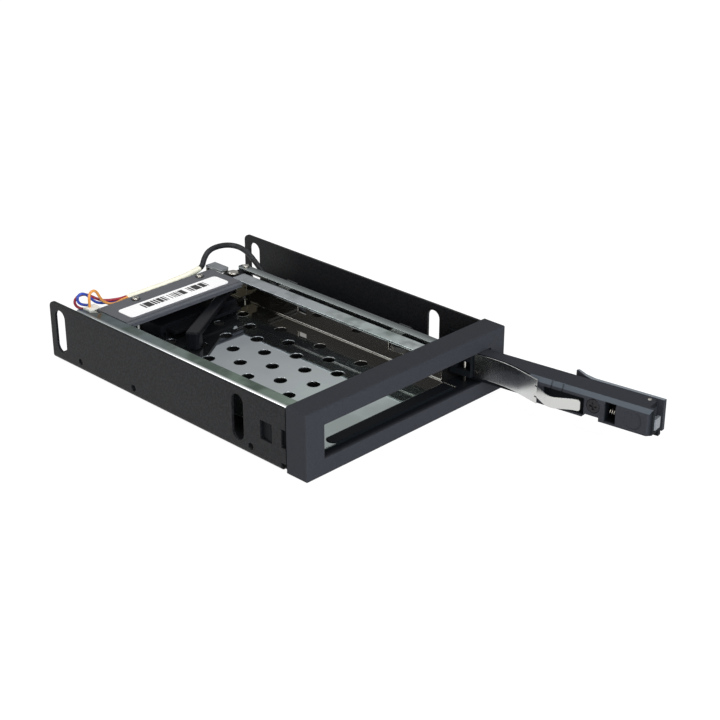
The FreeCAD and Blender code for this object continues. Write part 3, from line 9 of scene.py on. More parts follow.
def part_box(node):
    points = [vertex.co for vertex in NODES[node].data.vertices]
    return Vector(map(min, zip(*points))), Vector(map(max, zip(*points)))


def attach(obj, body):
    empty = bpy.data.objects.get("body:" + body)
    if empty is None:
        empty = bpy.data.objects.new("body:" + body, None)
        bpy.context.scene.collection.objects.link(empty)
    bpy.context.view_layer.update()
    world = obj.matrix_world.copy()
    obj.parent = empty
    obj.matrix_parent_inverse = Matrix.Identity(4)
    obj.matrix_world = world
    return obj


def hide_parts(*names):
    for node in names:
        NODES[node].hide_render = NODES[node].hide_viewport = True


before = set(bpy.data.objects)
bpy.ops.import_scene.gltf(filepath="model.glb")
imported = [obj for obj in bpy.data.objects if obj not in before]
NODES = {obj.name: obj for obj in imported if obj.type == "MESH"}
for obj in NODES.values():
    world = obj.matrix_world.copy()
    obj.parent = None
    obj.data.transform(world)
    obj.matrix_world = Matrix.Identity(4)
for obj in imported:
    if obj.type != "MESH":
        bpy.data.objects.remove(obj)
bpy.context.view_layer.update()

MM = 0.001

# the door stands open at rest: which way its length and its outer face point
DOOR_TURN = math.radians(-82)
DOOR_ALONG = (math.cos(DOOR_TURN), math.sin(DOOR_TURN), 0.0)
DOOR_OUT = (-math.sin(DOOR_TURN), math.cos(DOOR_TURN), 0.0)
UP = (0.0, 0.0, 1.0)

# settings that several nodes share
COLOURS = {"data_type": "RGBA"}
DOT = {"operation": "DOT_PRODUCT"}
PRODUCT = {"operation": "MULTIPLY"}
PRODUCT_AND_SUM = {"operation": "MULTIPLY_ADD"}
SUM = {"operation": "ADD"}
WITHOUT = {"operation": "SUBTRACT", "use_clamp": True}
ABSOLUTE = {"operation": "ABSOLUTE"}
LARGER = {"operation": "MAXIMUM"}
OVER = {"operation": "GREATER_THAN"}
SOFT_EDGE = {"samples": 6}


def linear(code):
    """An sRGB hex colour as the linear colour that shaders take."""
    values = [int(code[place:place + 2], 16) / 255 for place in (1, 3, 5)]
    spread = [v / 12.92 if v <= 0.04045 else ((v + 0.055) / 1.055) ** 2.4 for v in values]
    return (*spread, 1.0)


def feed(tree, node, **inputs):
    """Set a node's inputs, or link them to a socket or to the first output that another node uses.

    An input goes by its name, or by an underscore and its number where names repeat.
    """
    for name, value in inputs.items():
        socket = node.inputs[int(name[1:]) if name[0] == "_" else name.replace("_", " ")]
        if isinstance(value, bpy.types.Node):
            value = next(output for output in value.outputs if output.enabled)
        if isinstance(value, bpy.types.NodeSocket):
            tree.links.new(value, socket)
        else:
            socket.default_value = value


def add(tree, kind, settings=None, stops=(), **inputs):
    """Add a node with its settings, the colour stops of a ramp, and its inputs."""
    node = tree.nodes.new(kind)
    for name, value in (settings or {}).items():
        setattr(node, name, value)
    if stops:
        marks = node.color_ramp.elements
        while len(marks) < len(stops):
            marks.new(1.0)
        for mark, (place, code) in zip(marks, stops):
            mark.position = place
            mark.color = linear(code)
    feed(tree, node, **inputs)
    return node


def per_mm(size):
    """Texture scale whose pattern is about this many millimetres across."""
    return 1000 / size


def fade(start, end):
    """Map Range inputs for a share that is 0 at the first place and 1 at the second, in millimetres."""
    return {"From_Min": start * MM, "From_Max": end * MM}


def surface(name, **constants):
    """A new material with its Principled shader, its plain values and its object coordinates."""
    made = bpy.data.materials.new(name)
    made.use_nodes = True
    tree = made.node_tree
    shader = tree.nodes["Principled BSDF"]
    feed(tree, shader, **constants)
    place = add(tree, "ShaderNodeTexCoord").outputs["Object"]
    return made, tree, shader, place


def grain(tree, shader, place, size, depth, edge):
    """Fine bump of one size in millimetres over edges softened by the mould or the fold."""
    noise = add(tree, "ShaderNodeTexNoise", Vector=place, Scale=per_mm(size), Detail=2.0)
    soft = add(tree, "ShaderNodeBevel", SOFT_EDGE, Radius=edge * MM)
    bump = add(tree, "ShaderNodeBump", Strength=depth, Distance=0.05 * MM, Height=noise, Normal=soft)
    feed(tree, shader, Normal=bump)
    return noise


def black_powder_paint():
    """Satin powder paint on folded steel: a soft grey sheen over a dark speckle.

    The speckle is drawn coarser than it is on real paint, so that it shows in the render.
    """
    made, tree, shader, place = surface("black_powder_paint", IOR=1.5, Specular_IOR_Level=0.14)
    fleck = grain(tree, shader, place, size=0.7, depth=0.2, edge=0.3)
    colour = add(tree, "ShaderNodeValToRGB", stops=((0.35, "#101113"), (0.7, "#242527")), Fac=fleck)
    rough = add(tree, "ShaderNodeMapRange", Value=fleck, To_Min=0.4, To_Max=0.52)
    feed(tree, shader, Base_Color=colour, Roughness=rough)
    return made


# the bezel's window and the arms behind it, which get painted shade, in millimetres: where a share begins and
# where it is whole
WINDOW_DEPTH = (-76.0, -74.5)
WINDOW_SIDE = (43.5, 43.1)
WINDOW_TOP = (19.4, 19.0)
ARMS_DEPTH = (-65.9, -65.5)


def shade_in_window_and_arms(tree, place):
    """Share of the bezel that lies within its window, or on the arms behind it, for painted shade."""
    parts = add(tree, "ShaderNodeSeparateXYZ", Vector=place).outputs
    side = add(tree, "ShaderNodeMath", ABSOLUTE, _0=parts["X"])
    deep = add(tree, "ShaderNodeMapRange", Value=parts["Y"], **fade(*WINDOW_DEPTH))
    across = add(tree, "ShaderNodeMapRange", Value=side, **fade(*WINDOW_SIDE))
    under = add(tree, "ShaderNodeMapRange", Value=parts["Z"], **fade(*WINDOW_TOP))
    arms = add(tree, "ShaderNodeMapRange", Value=parts["Y"], **fade(*ARMS_DEPTH))
    gap = add(tree, "ShaderNodeMath", PRODUCT, _0=deep, _1=across)
    window = add(tree, "ShaderNodeMath", PRODUCT, _0=gap, _1=under)
    return add(tree, "ShaderNodeMath", LARGER, _0=window, _1=arms)


# the door in millimetres: its inner face and outer skin along DOOR_OUT, its roof and bevel below its top;
# the rises and the bevel's way are parts of a face's normal
DOOR_INNER_FACE = (20.9, 21.9)
DOOR_OUTER_SKIN = (30.2, 30.0)
DOOR_ROOF_START = 2.9
DOOR_ROOF_FULL = 2.7
BEVEL_DROP = 1.8
ROOF_LEAST_RISE = 0.2
ROOF_FULL_RISE = 0.4
BEVEL_WAY = (-0.857, -0.12, 0.5)


def door_pocket_shade(tree, place):
    """Share of the door between its inner face and its outer skin, its roof left out, for painted shade."""
    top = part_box("door_body")[1].z
    deep = add(tree, "ShaderNodeVectorMath", DOT, _0=place, _1=DOOR_OUT)
    inner = add(tree, "ShaderNodeMapRange", Value=deep, **fade(*DOOR_INNER_FACE))
    skin = add(tree, "ShaderNodeMapRange", Value=deep, **fade(*DOOR_OUTER_SKIN))
    between = add(tree, "ShaderNodeMath", PRODUCT, _0=inner, _1=skin)
    height = add(tree, "ShaderNodeSeparateXYZ", Vector=place).outputs["Z"]
    facing = add(tree, "ShaderNodeTexCoord").outputs["Normal"]
    rise = add(tree, "ShaderNodeSeparateXYZ", Vector=facing).outputs["Z"]
    upper = add(tree, "ShaderNodeMapRange", Value=height, From_Min=top - DOOR_ROOF_START * MM,
                From_Max=top - DOOR_ROOF_FULL * MM)
    flat = add(tree, "ShaderNodeMapRange", Value=rise, From_Min=ROOF_LEAST_RISE, From_Max=ROOF_FULL_RISE)
    roof = add(tree, "ShaderNodeMath", PRODUCT, _0=upper, _1=flat)
    return add(tree, "ShaderNodeMath", WITHOUT, _0=between, _1=roof)


def facing_highlight_share(tree, place, way, least, lowest):
    """Share of the faces that look one way, above a height, that get a painted highlight."""
    turn_fade = 0.04
    height_fade = 0.2 * MM
    facing = add(tree, "ShaderNodeTexCoord").outputs["Normal"]
    match = add(tree, "ShaderNodeVectorMath", DOT, _0=facing, _1=way)
    turned = add(tree, "ShaderNodeMapRange", Value=match, From_Min=least, From_Max=least + turn_fade)
    height = add(tree, "ShaderNodeSeparateXYZ", Vector=place).outputs["Z"]
    above = add(tree, "ShaderNodeMapRange", Value=height, From_Min=lowest, From_Max=lowest + height_fade)
    return add(tree, "ShaderNodeMath", PRODUCT, _0=turned, _1=above)


def door_bevel_highlight(tree, place):
    """Share of the upper part of the door's bevel, for its painted highlight."""
    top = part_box("door_body")[1].z
    return facing_highlight_share(tree, place, way=BEVEL_WAY, least=0.94, lowest=top - BEVEL_DROP * MM)


def lever_top_highlight(tree, place):
    """Share of the latch lever's top face, for its painted highlight."""
    return facing_highlight_share(tree, place, way=UP, least=0.85, lowest=0.0)


def black_moulded_abs(name, painted_shade=None, painted_highlight=None, painted_highlight_tone=None):
    """Spark-eroded ABS: a cool matt black, with painted shade in its recesses and a paler painted highlight on
    some faces.

    The grain is drawn coarser than it is on a real moulding, so that it shows in the render.
    """
    made, tree, shader, place = surface(name, IOR=1.53, Specular_IOR_Level=0.04)
    fleck = grain(tree, shader, place, size=0.35, depth=0.18, edge=0.4)
    colour = add(tree, "ShaderNodeValToRGB", stops=((0.3, "#2b2d31"), (0.75, "#35373c")), Fac=fleck)
    # painted shade: a near-black tone where the share picks out a recess
    if painted_shade:
        colour = add(tree, "ShaderNodeMix", COLOURS, _0=painted_shade(tree, place), _6=colour, _7=linear("#121518"))
    # painted highlight: a paler tone on the faces that the share picks out
    if painted_highlight:
        colour = add(tree, "ShaderNodeMix", COLOURS, _0=painted_highlight(tree, place), _6=colour,
                     _7=linear(painted_highlight_tone))
    rough = add(tree, "ShaderNodeMapRange", Value=fleck, To_Min=0.5, To_Max=0.65)
    feed(tree, shader, Base_Color=colour, Roughness=rough)
    return made


def dark_smooth_abs(name, dark, light, smoothest, roughest, gloss):
    """Smooth ABS of the inner mouldings: one dark tone with a soft even shine."""
    made, tree, shader, place = surface(name, IOR=1.53, Specular_IOR_Level=gloss)
    fleck = grain(tree, shader, place, size=0.8, depth=0.05, edge=0.3)
    colour = add(tree, "ShaderNodeValToRGB", stops=((0.3, dark), (0.7, light)), Fac=fleck)
    rough = add(tree, "ShaderNodeMapRange", Value=fleck, To_Min=smoothest, To_Max=roughest)
    feed(tree, shader, Base_Color=colour, Roughness=rough)
    return made


# the cage in millimetres: where a share of its length, rails, wall and rear begins and where it is whole;
# the fold's painted highlight and the lip's painted shade are measured from its left and its right edge
CAGE_LENGTH = (-65, 60)
RAIL_HEIGHT = (17.6, 18.8)
RIGHT_RAIL = (10, 12)
RIGHT_WALL = (16, 20)
REAR_CORNER = (0, 38)
REAR_TAIL = (50, 52)
LEFT_FOLD_START = 1.9
LEFT_FOLD_FULL = 1.3
OUTER_LIP = 0.9
# painted reflection in the zinc: the floor's and the rails' tones change along the cage, darker towards the
# rear and greener on the left rail
FLOOR_REFLECTION_TONES = ((0.15, "#b4bfbd"), (0.28, "#d2dede"), (0.45, "#cbd2d4"), (0.8, "#a7aeb4"))
LEFT_RAIL_REFLECTION_TONES = (
    (0.2, "#9fb1a6"), (0.35, "#748a7c"), (0.5, "#8a9e92"), (0.7, "#84938e"), (1.0, "#66727a"))
RIGHT_RAIL_REFLECTION_TONES = (
    (0.2, "#dde5e6"), (0.32, "#b9c8c4"), (0.45, "#cbd6d5"), (0.8, "#bcc2c7"), (1.0, "#b2b7bc"))
# painted highlight along the left rail's outer fold: near white at the front, grey towards the rear
FOLD_HIGHLIGHT_TONES = ((0.45, "#dfe2e2"), (0.75, "#8f9495"))


def rail_colour(tree, place, back, drift):
    """Painted reflection, green-grey on the left rail and pale on the right rail, a painted highlight along
    the left rail's fold, and stains in patches on both.
    """
    side = add(tree, "ShaderNodeSeparateXYZ", Vector=place).outputs["X"]
    stain = add(tree, "ShaderNodeTexNoise", Vector=place, Scale=per_mm(9), Detail=2.0)
    patch = add(tree, "ShaderNodeMapRange", Value=stain, From_Min=0.45, From_Max=0.65, To_Max=0.75)
    left = add(tree, "ShaderNodeValToRGB", stops=LEFT_RAIL_REFLECTION_TONES, Fac=drift)
    left = add(tree, "ShaderNodeMix", COLOURS, _0=patch, _6=left, _7=linear("#46574d"))
    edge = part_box("drive_cage")[0].x
    fold_highlight_share = add(tree, "ShaderNodeMapRange", Value=side, From_Min=edge + LEFT_FOLD_START * MM,
               From_Max=edge + LEFT_FOLD_FULL * MM)
    fold_highlight = add(tree, "ShaderNodeValToRGB", stops=FOLD_HIGHLIGHT_TONES, Fac=back)
    left = add(tree, "ShaderNodeMix", COLOURS, _0=fold_highlight_share, _6=left, _7=fold_highlight)
    right = add(tree, "ShaderNodeValToRGB", stops=RIGHT_RAIL_REFLECTION_TONES, Fac=drift)
    right = add(tree, "ShaderNodeMix", COLOURS, _0=patch, _6=right, _7=linear("#7f8a88"))
    across = add(tree, "ShaderNodeMapRange", Value=side, **fade(*RIGHT_RAIL))
    return add(tree, "ShaderNodeMix", COLOURS, _0=across, _6=left, _7=right)


def sheet_colour(tree, place, high):
    """Painted reflection in a cool floor and its rails, a warmer right wall and an olive rear corner; painted
    shade on the dark outer lips.
    """
    parts = add(tree, "ShaderNodeSeparateXYZ", Vector=place).outputs
    back = add(tree, "ShaderNodeMapRange", Value=parts["Y"], **fade(*CAGE_LENGTH))
    broad = add(tree, "ShaderNodeTexNoise", Vector=place, Scale=per_mm(16), Detail=3.0)
    unevenness = 0.3
    # the painted reflection follows the cage's length, with a broad noise for uneven tone
    drift = add(tree, "ShaderNodeMath", PRODUCT_AND_SUM, _0=broad, _1=unevenness, _2=back)
    floor = add(tree, "ShaderNodeValToRGB", stops=FLOOR_REFLECTION_TONES, Fac=drift)
    rails = rail_colour(tree, place, back, drift)
    colour = add(tree, "ShaderNodeMix", COLOURS, _0=high, _6=floor, _7=rails)
    # painted reflection: warmer on the right wall and olive in its rear corner
    wall = add(tree, "ShaderNodeMapRange", Value=parts["X"], **fade(*RIGHT_WALL))
    rear = add(tree, "ShaderNodeMapRange", Value=parts["Y"], **fade(*REAR_CORNER))
    corner = add(tree, "ShaderNodeMath", PRODUCT, _0=wall, _1=rear)
    warm = add(tree, "ShaderNodeMath", WITHOUT, _0=wall, _1=high)
    olive = add(tree, "ShaderNodeMath", WITHOUT, _0=corner, _1=high)
    # painted shade: the outer lips beside the chassis wall are tinted dark
    outer_lip_shade = add(tree, "ShaderNodeMath", OVER, _0=parts["X"], _1=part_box("drive_cage")[1].x - OUTER_LIP * MM)
    for share, code in ((warm, "#b3b1ad"), (olive, "#8b897f"), (outer_lip_shade, "#3c4042")):
        colour = add(tree, "ShaderNodeMix", COLOURS, _0=share, _6=colour, _7=linear(code))
    return colour


def sheet_roughness(tree, place, high):
    """A mirror clouded along its length, duller on the rails and dullest on the rear tail."""
    lengthwise = add(tree, "ShaderNodeMapping", Vector=place, Scale=(1.0, 0.08, 1.0))
    cloud = add(tree, "ShaderNodeTexNoise", Vector=lengthwise, Scale=per_mm(2.5), Detail=3.0)
    rough = add(tree, "ShaderNodeMapRange", Value=cloud, To_Min=0.02, To_Max=0.05)
    rail_dullness = 0.17
    dull = add(tree, "ShaderNodeMath", PRODUCT_AND_SUM, _0=high, _1=rail_dullness, _2=rough)
    back = add(tree, "ShaderNodeSeparateXYZ", Vector=place).outputs["Y"]
    tail = add(tree, "ShaderNodeMapRange", Value=back, To_Max=0.25, **fade(*REAR_TAIL))
    return add(tree, "ShaderNodeMath", SUM, _0=dull, _1=tail)


def passivated_zinc_sheet():
    """Zinc plated sheet: a cool clouded mirror, gently waved, duller on its rails, its tones a painted
    reflection, olive at the rear.

    Metallic stays a little under 1 for the trace of plain light that its clear film sends back.
    """
    made, tree, shader, place = surface("passivated_zinc_sheet", Metallic=0.98)
    height = add(tree, "ShaderNodeSeparateXYZ", Vector=place).outputs["Z"]
    high = add(tree, "ShaderNodeMapRange", Value=height, **fade(*RAIL_HEIGHT))
    soft = add(tree, "ShaderNodeBevel", SOFT_EDGE, Radius=0.45 * MM)
    wave = add(tree, "ShaderNodeTexNoise", Vector=place, Scale=per_mm(14), Detail=1.0)
    bump = add(tree, "ShaderNodeBump", Strength=0.04, Distance=0.2 * MM, Height=wave, Normal=soft)
    colour = sheet_colour(tree, place, high)
    rough = sheet_roughness(tree, place, high)
    feed(tree, shader, Base_Color=colour, Roughness=rough, Normal=bump)
    return made


# the leaf's length in millimetres along DOOR_ALONG, and its tones from its broad part to its tongue
LEAF_LENGTH = (75, 125)
LEAF_TONES = ((0.2, "#d6d6d4"), (0.45, "#d2d3d3"), (0.58, "#cccdcc"), (0.72, "#c8c9c6"))


def polished_spring_strip():
    """Rolled spring strip: faint lines across it, and a gloss that blurs what it mirrors.

    The lines are drawn coarser than real rolling marks, so that they show in the render.
    """
    made, tree, shader, place = surface("polished_spring_strip", Metallic=1.0)
    run = add(tree, "ShaderNodeVectorMath", DOT, _0=place, _1=DOOR_ALONG)
    share = add(tree, "ShaderNodeMapRange", Value=run, **fade(*LEAF_LENGTH))
    colour = add(tree, "ShaderNodeValToRGB", stops=LEAF_TONES, Fac=share)
    upright = add(tree, "ShaderNodeMapping", Vector=place, Scale=(1.0, 1.0, 0.05))
    lines = add(tree, "ShaderNodeTexNoise", Vector=upright, Scale=per_mm(0.6), Detail=2.0)
    rough = add(tree, "ShaderNodeMapRange", Value=lines, To_Min=0.15, To_Max=0.23)
    soft = add(tree, "ShaderNodeBevel", SOFT_EDGE, Radius=0.25 * MM)
    feed(tree, shader, Base_Color=colour, Roughness=rough, Normal=soft)
    return made


def link_bar_edge_highlight():
    """Rolled steel bar, grey along its middle, with a painted highlight that makes its two edges pale."""
    made, tree, shader, place = surface("link_bar_edge_highlight", Metallic=1.0)
    low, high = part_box("link_bar")
    # painted highlight: a pale tone along both edges of the bar
    pale = "#b3bbbb"
    grey = "#787f81"
    tones = ((0.0, pale), (0.3, grey), (0.7, grey), (1.0, pale))
    side = add(tree, "ShaderNodeSeparateXYZ", Vector=place).outputs["X"]
    across = add(tree, "ShaderNodeMapRange", Value=side, From_Min=low.x, From_Max=high.x)
    colour = add(tree, "ShaderNodeValToRGB", stops=tones, Fac=across)
    cloud = add(tree, "ShaderNodeTexNoise", Vector=place, Scale=per_mm(2.0), Detail=2.0)
    rough = add(tree, "ShaderNodeMapRange", Value=cloud, To_Min=0.2, To_Max=0.34)
    soft = add(tree, "ShaderNodeBevel", SOFT_EDGE, Radius=0.25 * MM)
    feed(tree, shader, Base_Color=colour, Roughness=rough, Normal=soft)
    return made


def nickel_plate():
    """Nickel plate on rivets and screws: bright, with a warm cloud in it."""
    made, tree, shader, place = surface("nickel_plate", Metallic=1.0)
    cloud = add(tree, "ShaderNodeTexNoise", Vector=place, Scale=per_mm(1.2), Detail=3.0)
    colour = add(tree, "ShaderNodeValToRGB", stops=((0.0, "#b4b1a9"), (1.0, "#d2d0c9")), Fac=cloud)
    rough = add(tree, "ShaderNodeMapRange", Value=cloud, To_Min=0.14, To_Max=0.26)
    soft = add(tree, "ShaderNodeBevel", SOFT_EDGE, Radius=0.3 * MM)
    feed(tree, shader, Base_Color=colour, Roughness=rough, Normal=soft)
    return made


def blackened_steel():
    """Black oxide on a screw: dark and a little oily."""
    made, tree, shader, place = surface("blackened_steel", Metallic=0.6)
    cloud = grain(tree, shader, place, size=0.6, depth=0.15, edge=0.2)
    colour = add(tree, "ShaderNodeValToRGB", stops=((0.3, "#17171a"), (0.75, "#2c2c30")), Fac=cloud)
    rough = add(tree, "ShaderNodeMapRange", Value=cloud, To_Min=0.3, To_Max=0.45)
    feed(tree, shader, Base_Color=colour, Roughness=rough)
    return made


def soft_plastic(name, dark, light, roughness):
    """Insulation, sleeve or moulding with a faint unevenness of colour and of gloss."""
    made, tree, shader, place = surface(name, IOR=1.5)
    fleck = grain(tree, shader, place, size=1.0, depth=0.15, edge=0.2)
    colour = add(tree, "ShaderNodeValToRGB", stops=((0.3, dark), (0.7, light)), Fac=fleck)
    rough = add(tree, "ShaderNodeMapRange", Value=fleck, To_Min=roughness - 0.05, To_Max=roughness + 0.08)
    feed(tree, shader, Base_Color=colour, Roughness=rough)
    return made


def shrunk_cable_jacket():
    """Thin black tube shrunk over strands: soft lumps along it and a dull grey sheen."""
    made, tree, shader, place = surface("shrunk_cable_jacket", IOR=1.5, Specular_IOR_Level=0.4)
    lumps = add(tree, "ShaderNodeTexNoise", Vector=place, Scale=per_mm(2.6), Detail=1.0)
    bump = add(tree, "ShaderNodeBump", Strength=0.5, Distance=0.5 * MM, Height=lumps)
    colour = add(tree, "ShaderNodeValToRGB", stops=((0.3, "#16181a"), (0.7, "#25272a")), Fac=lumps)
    rough = add(tree, "ShaderNodeMapRange", Value=lumps, To_Min=0.45, To_Max=0.6)
    feed(tree, shader, Base_Color=colour, Roughness=rough, Normal=bump)
    return made


def solder_mask_board():
    """Green solder mask over copper: glossy, with paler tracks just showing."""
    made, tree, shader, place = surface("solder_mask_board", Roughness=0.3, IOR=1.5)
    tracks = add(tree, "ShaderNodeTexBrick", Vector=place, Scale=per_mm(3.0), Color1=linear("#2f5a3f"),
                 Color2=linear("#3f6b4f"), Mortar=linear("#557f62"), Mortar_Size=0.06)
    feed(tree, shader, Base_Color=tracks)
    return made


# the label's plain bars: their pitch in millimetres, the share of cells that stay white,
# and the place and the reach of their strip as shares of the label's sides
BAR_PITCH = 0.46
WHITE_CELLS = 0.36
STRIP_SHIFT_ALONG = 0.025
STRIP_HALF_LENGTH = 0.33
STRIP_SHIFT_UP = 0.1
STRIP_HALF_HEIGHT = 0.24


def printed_label():
    """White coated paper with a strip of plain dark bars of mixed widths and no words."""
    made, tree, shader, place = surface("printed_label", Roughness=0.45)
    low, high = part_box("cover_label")
    middle = (low + high) / 2
    length = high.x - low.x
    width = high.y - low.y
    parts = add(tree, "ShaderNodeSeparateXYZ", Vector=place).outputs
    cells = add(tree, "ShaderNodeMath", PRODUCT, _0=parts["X"], _1=per_mm(BAR_PITCH))
    steps = add(tree, "ShaderNodeMath", {"operation": "FLOOR"}, _0=cells)
    chance = add(tree, "ShaderNodeTexWhiteNoise", {"noise_dimensions": "1D"}, W=steps)
    ink = add(tree, "ShaderNodeMath", OVER, _0=chance, _1=WHITE_CELLS)
    sides = ((parts["X"], middle.x + STRIP_SHIFT_ALONG * length, STRIP_HALF_LENGTH * length),
             (parts["Y"], middle.y + STRIP_SHIFT_UP * width, STRIP_HALF_HEIGHT * width))
    for value, centre, half in sides:
        off = add(tree, "ShaderNodeMath", {"operation": "SUBTRACT"}, _0=value, _1=centre)
        size = add(tree, "ShaderNodeMath", ABSOLUTE, _0=off)
        near = add(tree, "ShaderNodeMath", {"operation": "LESS_THAN"}, _0=size, _1=half)
        ink = add(tree, "ShaderNodeMath", PRODUCT, _0=ink, _1=near)
    colour = add(tree, "ShaderNodeValToRGB", stops=((0.0, "#fbfbfa"), (1.0, "#1c1c1e")), Fac=ink)
    feed(tree, shader, Base_Color=colour)
    return made


FINISHES = {
    "chassis": black_powder_paint(),
    # painted shade in the bezel's window and the door's pockets; painted highlight on the door's bevel and the
    # lever's top
    "bezel": black_moulded_abs("black_moulded_abs_frame", painted_shade=shade_in_window_and_arms),
    "door": black_moulded_abs("black_moulded_abs_door", painted_shade=door_pocket_shade,
                              painted_highlight=door_bevel_highlight, painted_highlight_tone="#4c5258"),
    "lever": black_moulded_abs("black_moulded_abs_lever", painted_highlight=lever_top_highlight, painted_highlight_tone="#777d83"),
    "cage": passivated_zinc_sheet(),
    "strip": polished_spring_strip(),
    "bar": link_bar_edge_highlight(),
    "plate": nickel_plate(),
    "black_screw": blackened_steel(),
    "inner": dark_smooth_abs("dark_inner_abs", "#0e0f12", "#141518",
                             smoothest=0.26, roughest=0.34, gloss=0.1),
    "cover": dark_smooth_abs("grey_black_cover_abs", "#4c4f54", "#585a5f",
                             smoothest=0.4, roughest=0.55, gloss=0.4),
    "bolt": soft_plastic("grey_acetal", "#5f6468", "#6d7276", roughness=0.35),
    "board": solder_mask_board(),
    "label": printed_label(),
    "socket": soft_plastic("white_nylon", "#e6e5da", "#f2f1e8", roughness=0.4),
    "red": soft_plastic("red_wire_insulation", "#8a2535", "#a03040", roughness=0.35),
    "blue": soft_plastic("blue_wire_insulation", "#2b3f9b", "#3650b0", roughness=0.35),
    "orange": soft_plastic("orange_wire_insulation", "#d08a3c", "#e0a05a", roughness=0.35),
    "sleeve": soft_plastic("ivory_silicone_sleeve", "#efecd4", "#f6f2e0", roughness=0.45),
    "lead": shrunk_cable_jacket(),
}
NODE_FINISH = {
    "chassis": "chassis", "bezel": "bezel", "door_body": "door", "latch_lever": "lever",
    "drive_cage": "cage", "cage_standoffs": "plate", "hinge_pin": "plate", "latch_pin": "plate",
    "door_spring": "strip", "latch_spring": "plate", "door_screw": "black_screw", "latch_bolt": "bolt",
    "link_bar": "bar", "link_rivet": "plate", "pivot_rivet": "plate", "ejector_lever": "inner",
    "circuit_board": "board", "board_posts": "plate", "drive_receptacle": "inner",
    "host_plug": "inner", "rear_cover": "cover", "cover_screws": "plate", "cover_label": "label",
    "wire_socket": "socket", "wire_red": "red", "wire_blue": "blue", "wire_orange": "orange",
    "wire_sleeve": "sleeve", "lead_cable": "lead", "lead_holder": "inner",
}


def dress_nodes():
    """Give every CAD node its finish."""
    for name, finish in NODE_FINISH.items():
        slots = NODES[name].data.materials
        slots.clear()
        slots.append(FINISHES[finish])


# routes of the wires, sleeve and lead in millimetres, in steps from three places on the object;
# the lead's arc and drop leave the route of its solid a little, to follow the photograph
BOARD_CORNER = Vector((-40.6, 58.8, 17.2))
RAIL_CORNER = Vector((28.8, 58.8, 17.2))
HOLDER_MOUTH = Vector((45.5, -58.2, 5.1))
RED_LOOP = [
    (2.4, 0.2, 0.8), (2.4, 2.1, 0.8), (1.5, 3.9, 0.8), (0.5, 5.0, 1.9), (0.2, 5.3, 3.7),
    (1.3, 5.2, 5.1), (3.2, 5.0, 5.7), (5.3, 4.5, 5.4), (7.2, 3.6, 4.3), (8.9, 2.6, 3.0),
    (10.7, 1.7, 2.1), (12.8, 0.7, 1.75), (15.0, -0.4, 1.75), (17.4, -1.2, 1.66), (20.1, -1.2, 1.66)]
BLUE_LOOP = [
    (4.4, 0.2, 2.0), (4.4, 1.7, 2.0), (3.1, 2.8, 2.1), (1.5, 3.3, 2.8), (0.5, 3.6, 4.3),
    (0.8, 3.7, 6.1), (2.3, 3.5, 6.9), (4.0, 3.1, 6.3), (5.4, 2.7, 4.9), (6.8, 2.5, 3.2),
    (8.4, 2.4, 1.7), (10.3, 2.2, 0.9), (12.3, 1.5, 0.65), (14.2, 0.4, 0.6), (16.0, -0.9, 0.6),
    (18.0, -1.8, 0.6), (20.1, -1.8, 0.6)]
ORANGE_LOOP = [
    (2.6, -1.2, 2.6), (2.6, -1.2, 5.2), (2.9, -0.9, 7.2), (4.1, -0.8, 8.5), (5.8, -0.7, 8.4),
    (7.0, -0.6, 7.1), (7.9, -0.4, 5.4), (8.9, -0.2, 3.8), (10.1, -0.2, 2.3), (11.7, -0.9, 1.1),
    (13.6, -1.7, 0.75), (15.5, -2.3, 1.1), (17.6, -2.4, 1.66), (20.1, -2.4, 1.66)]
SLEEVE_START = [(20.1, -1.8, 1.3), (31.6, -1.8, 1.3), (44.1, -1.6, 1.4)]
SLEEVE_END = [(-18.3, -0.9, 1.4), (-13.6, 0.0, 1.35), (-9.7, 1.29, 1.26)]
LEAD_START = [
    (-9.7, 1.29, 1.26), (-7.165, 2.1285, 1.2015),
    (-5.6, 2.8, 4.0), (-2.6, 3.2, 6.8), (2.6, 3.3, 7.3), (7.6, 2.4, 6.8), (10.6, -0.4, 6.0),
    (11.5, -4.2, 4.7), (11.6, -7.4, 3.0), (11.8, -10.2, 0.7), (12.1, -13.0, -1.8), (12.4, -16.0, -4.4),
    (12.7, -19.5, -7.0), (13.1, -24.0, -9.2), (13.6, -29.6, -11.3)]
LEAD_END = [
    (-3.0, 80.0, -1.7), (-3.1, 70.0, -2.5), (-3.3, 54.0, -2.6), (-2.6, 32.0, -2.5), (-1.2, 16.0, -1.7),
    (0, 7.0, 0), (0, 0, 0)]
WIRE_RADIUS = 0.55
SLEEVE_RADIUS = 1.25
LEAD_RADIUS = 1.15


def steps_from(corner, steps):
    """The places of a route's steps, in millimetres."""
    return [corner + Vector(step) for step in steps]


def smooth_wire(node, points, radius, finish):
    """A round wire on one smooth line, which stands for its solid."""
    data = bpy.data.curves.new(node + "_line", "CURVE")
    data.dimensions = "3D"
    line = data.splines.new("NURBS")
    line.points.add(len(points) - 1)
    for spot, place in zip(line.points, points):
        spot.co = (*(place * MM), 1.0)
    line.use_endpoint_u = True
    line.order_u = 3
    line.resolution_u = 8
    data.bevel_depth = radius * MM
    data.bevel_resolution = 4
    data.use_fill_caps = True
    data.materials.append(FINISHES[finish])
    wire = bpy.data.objects.new(node + "_line", data)
    bpy.context.collection.objects.link(wire)
    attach(wire, "chassis")
    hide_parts(node)
    return wire


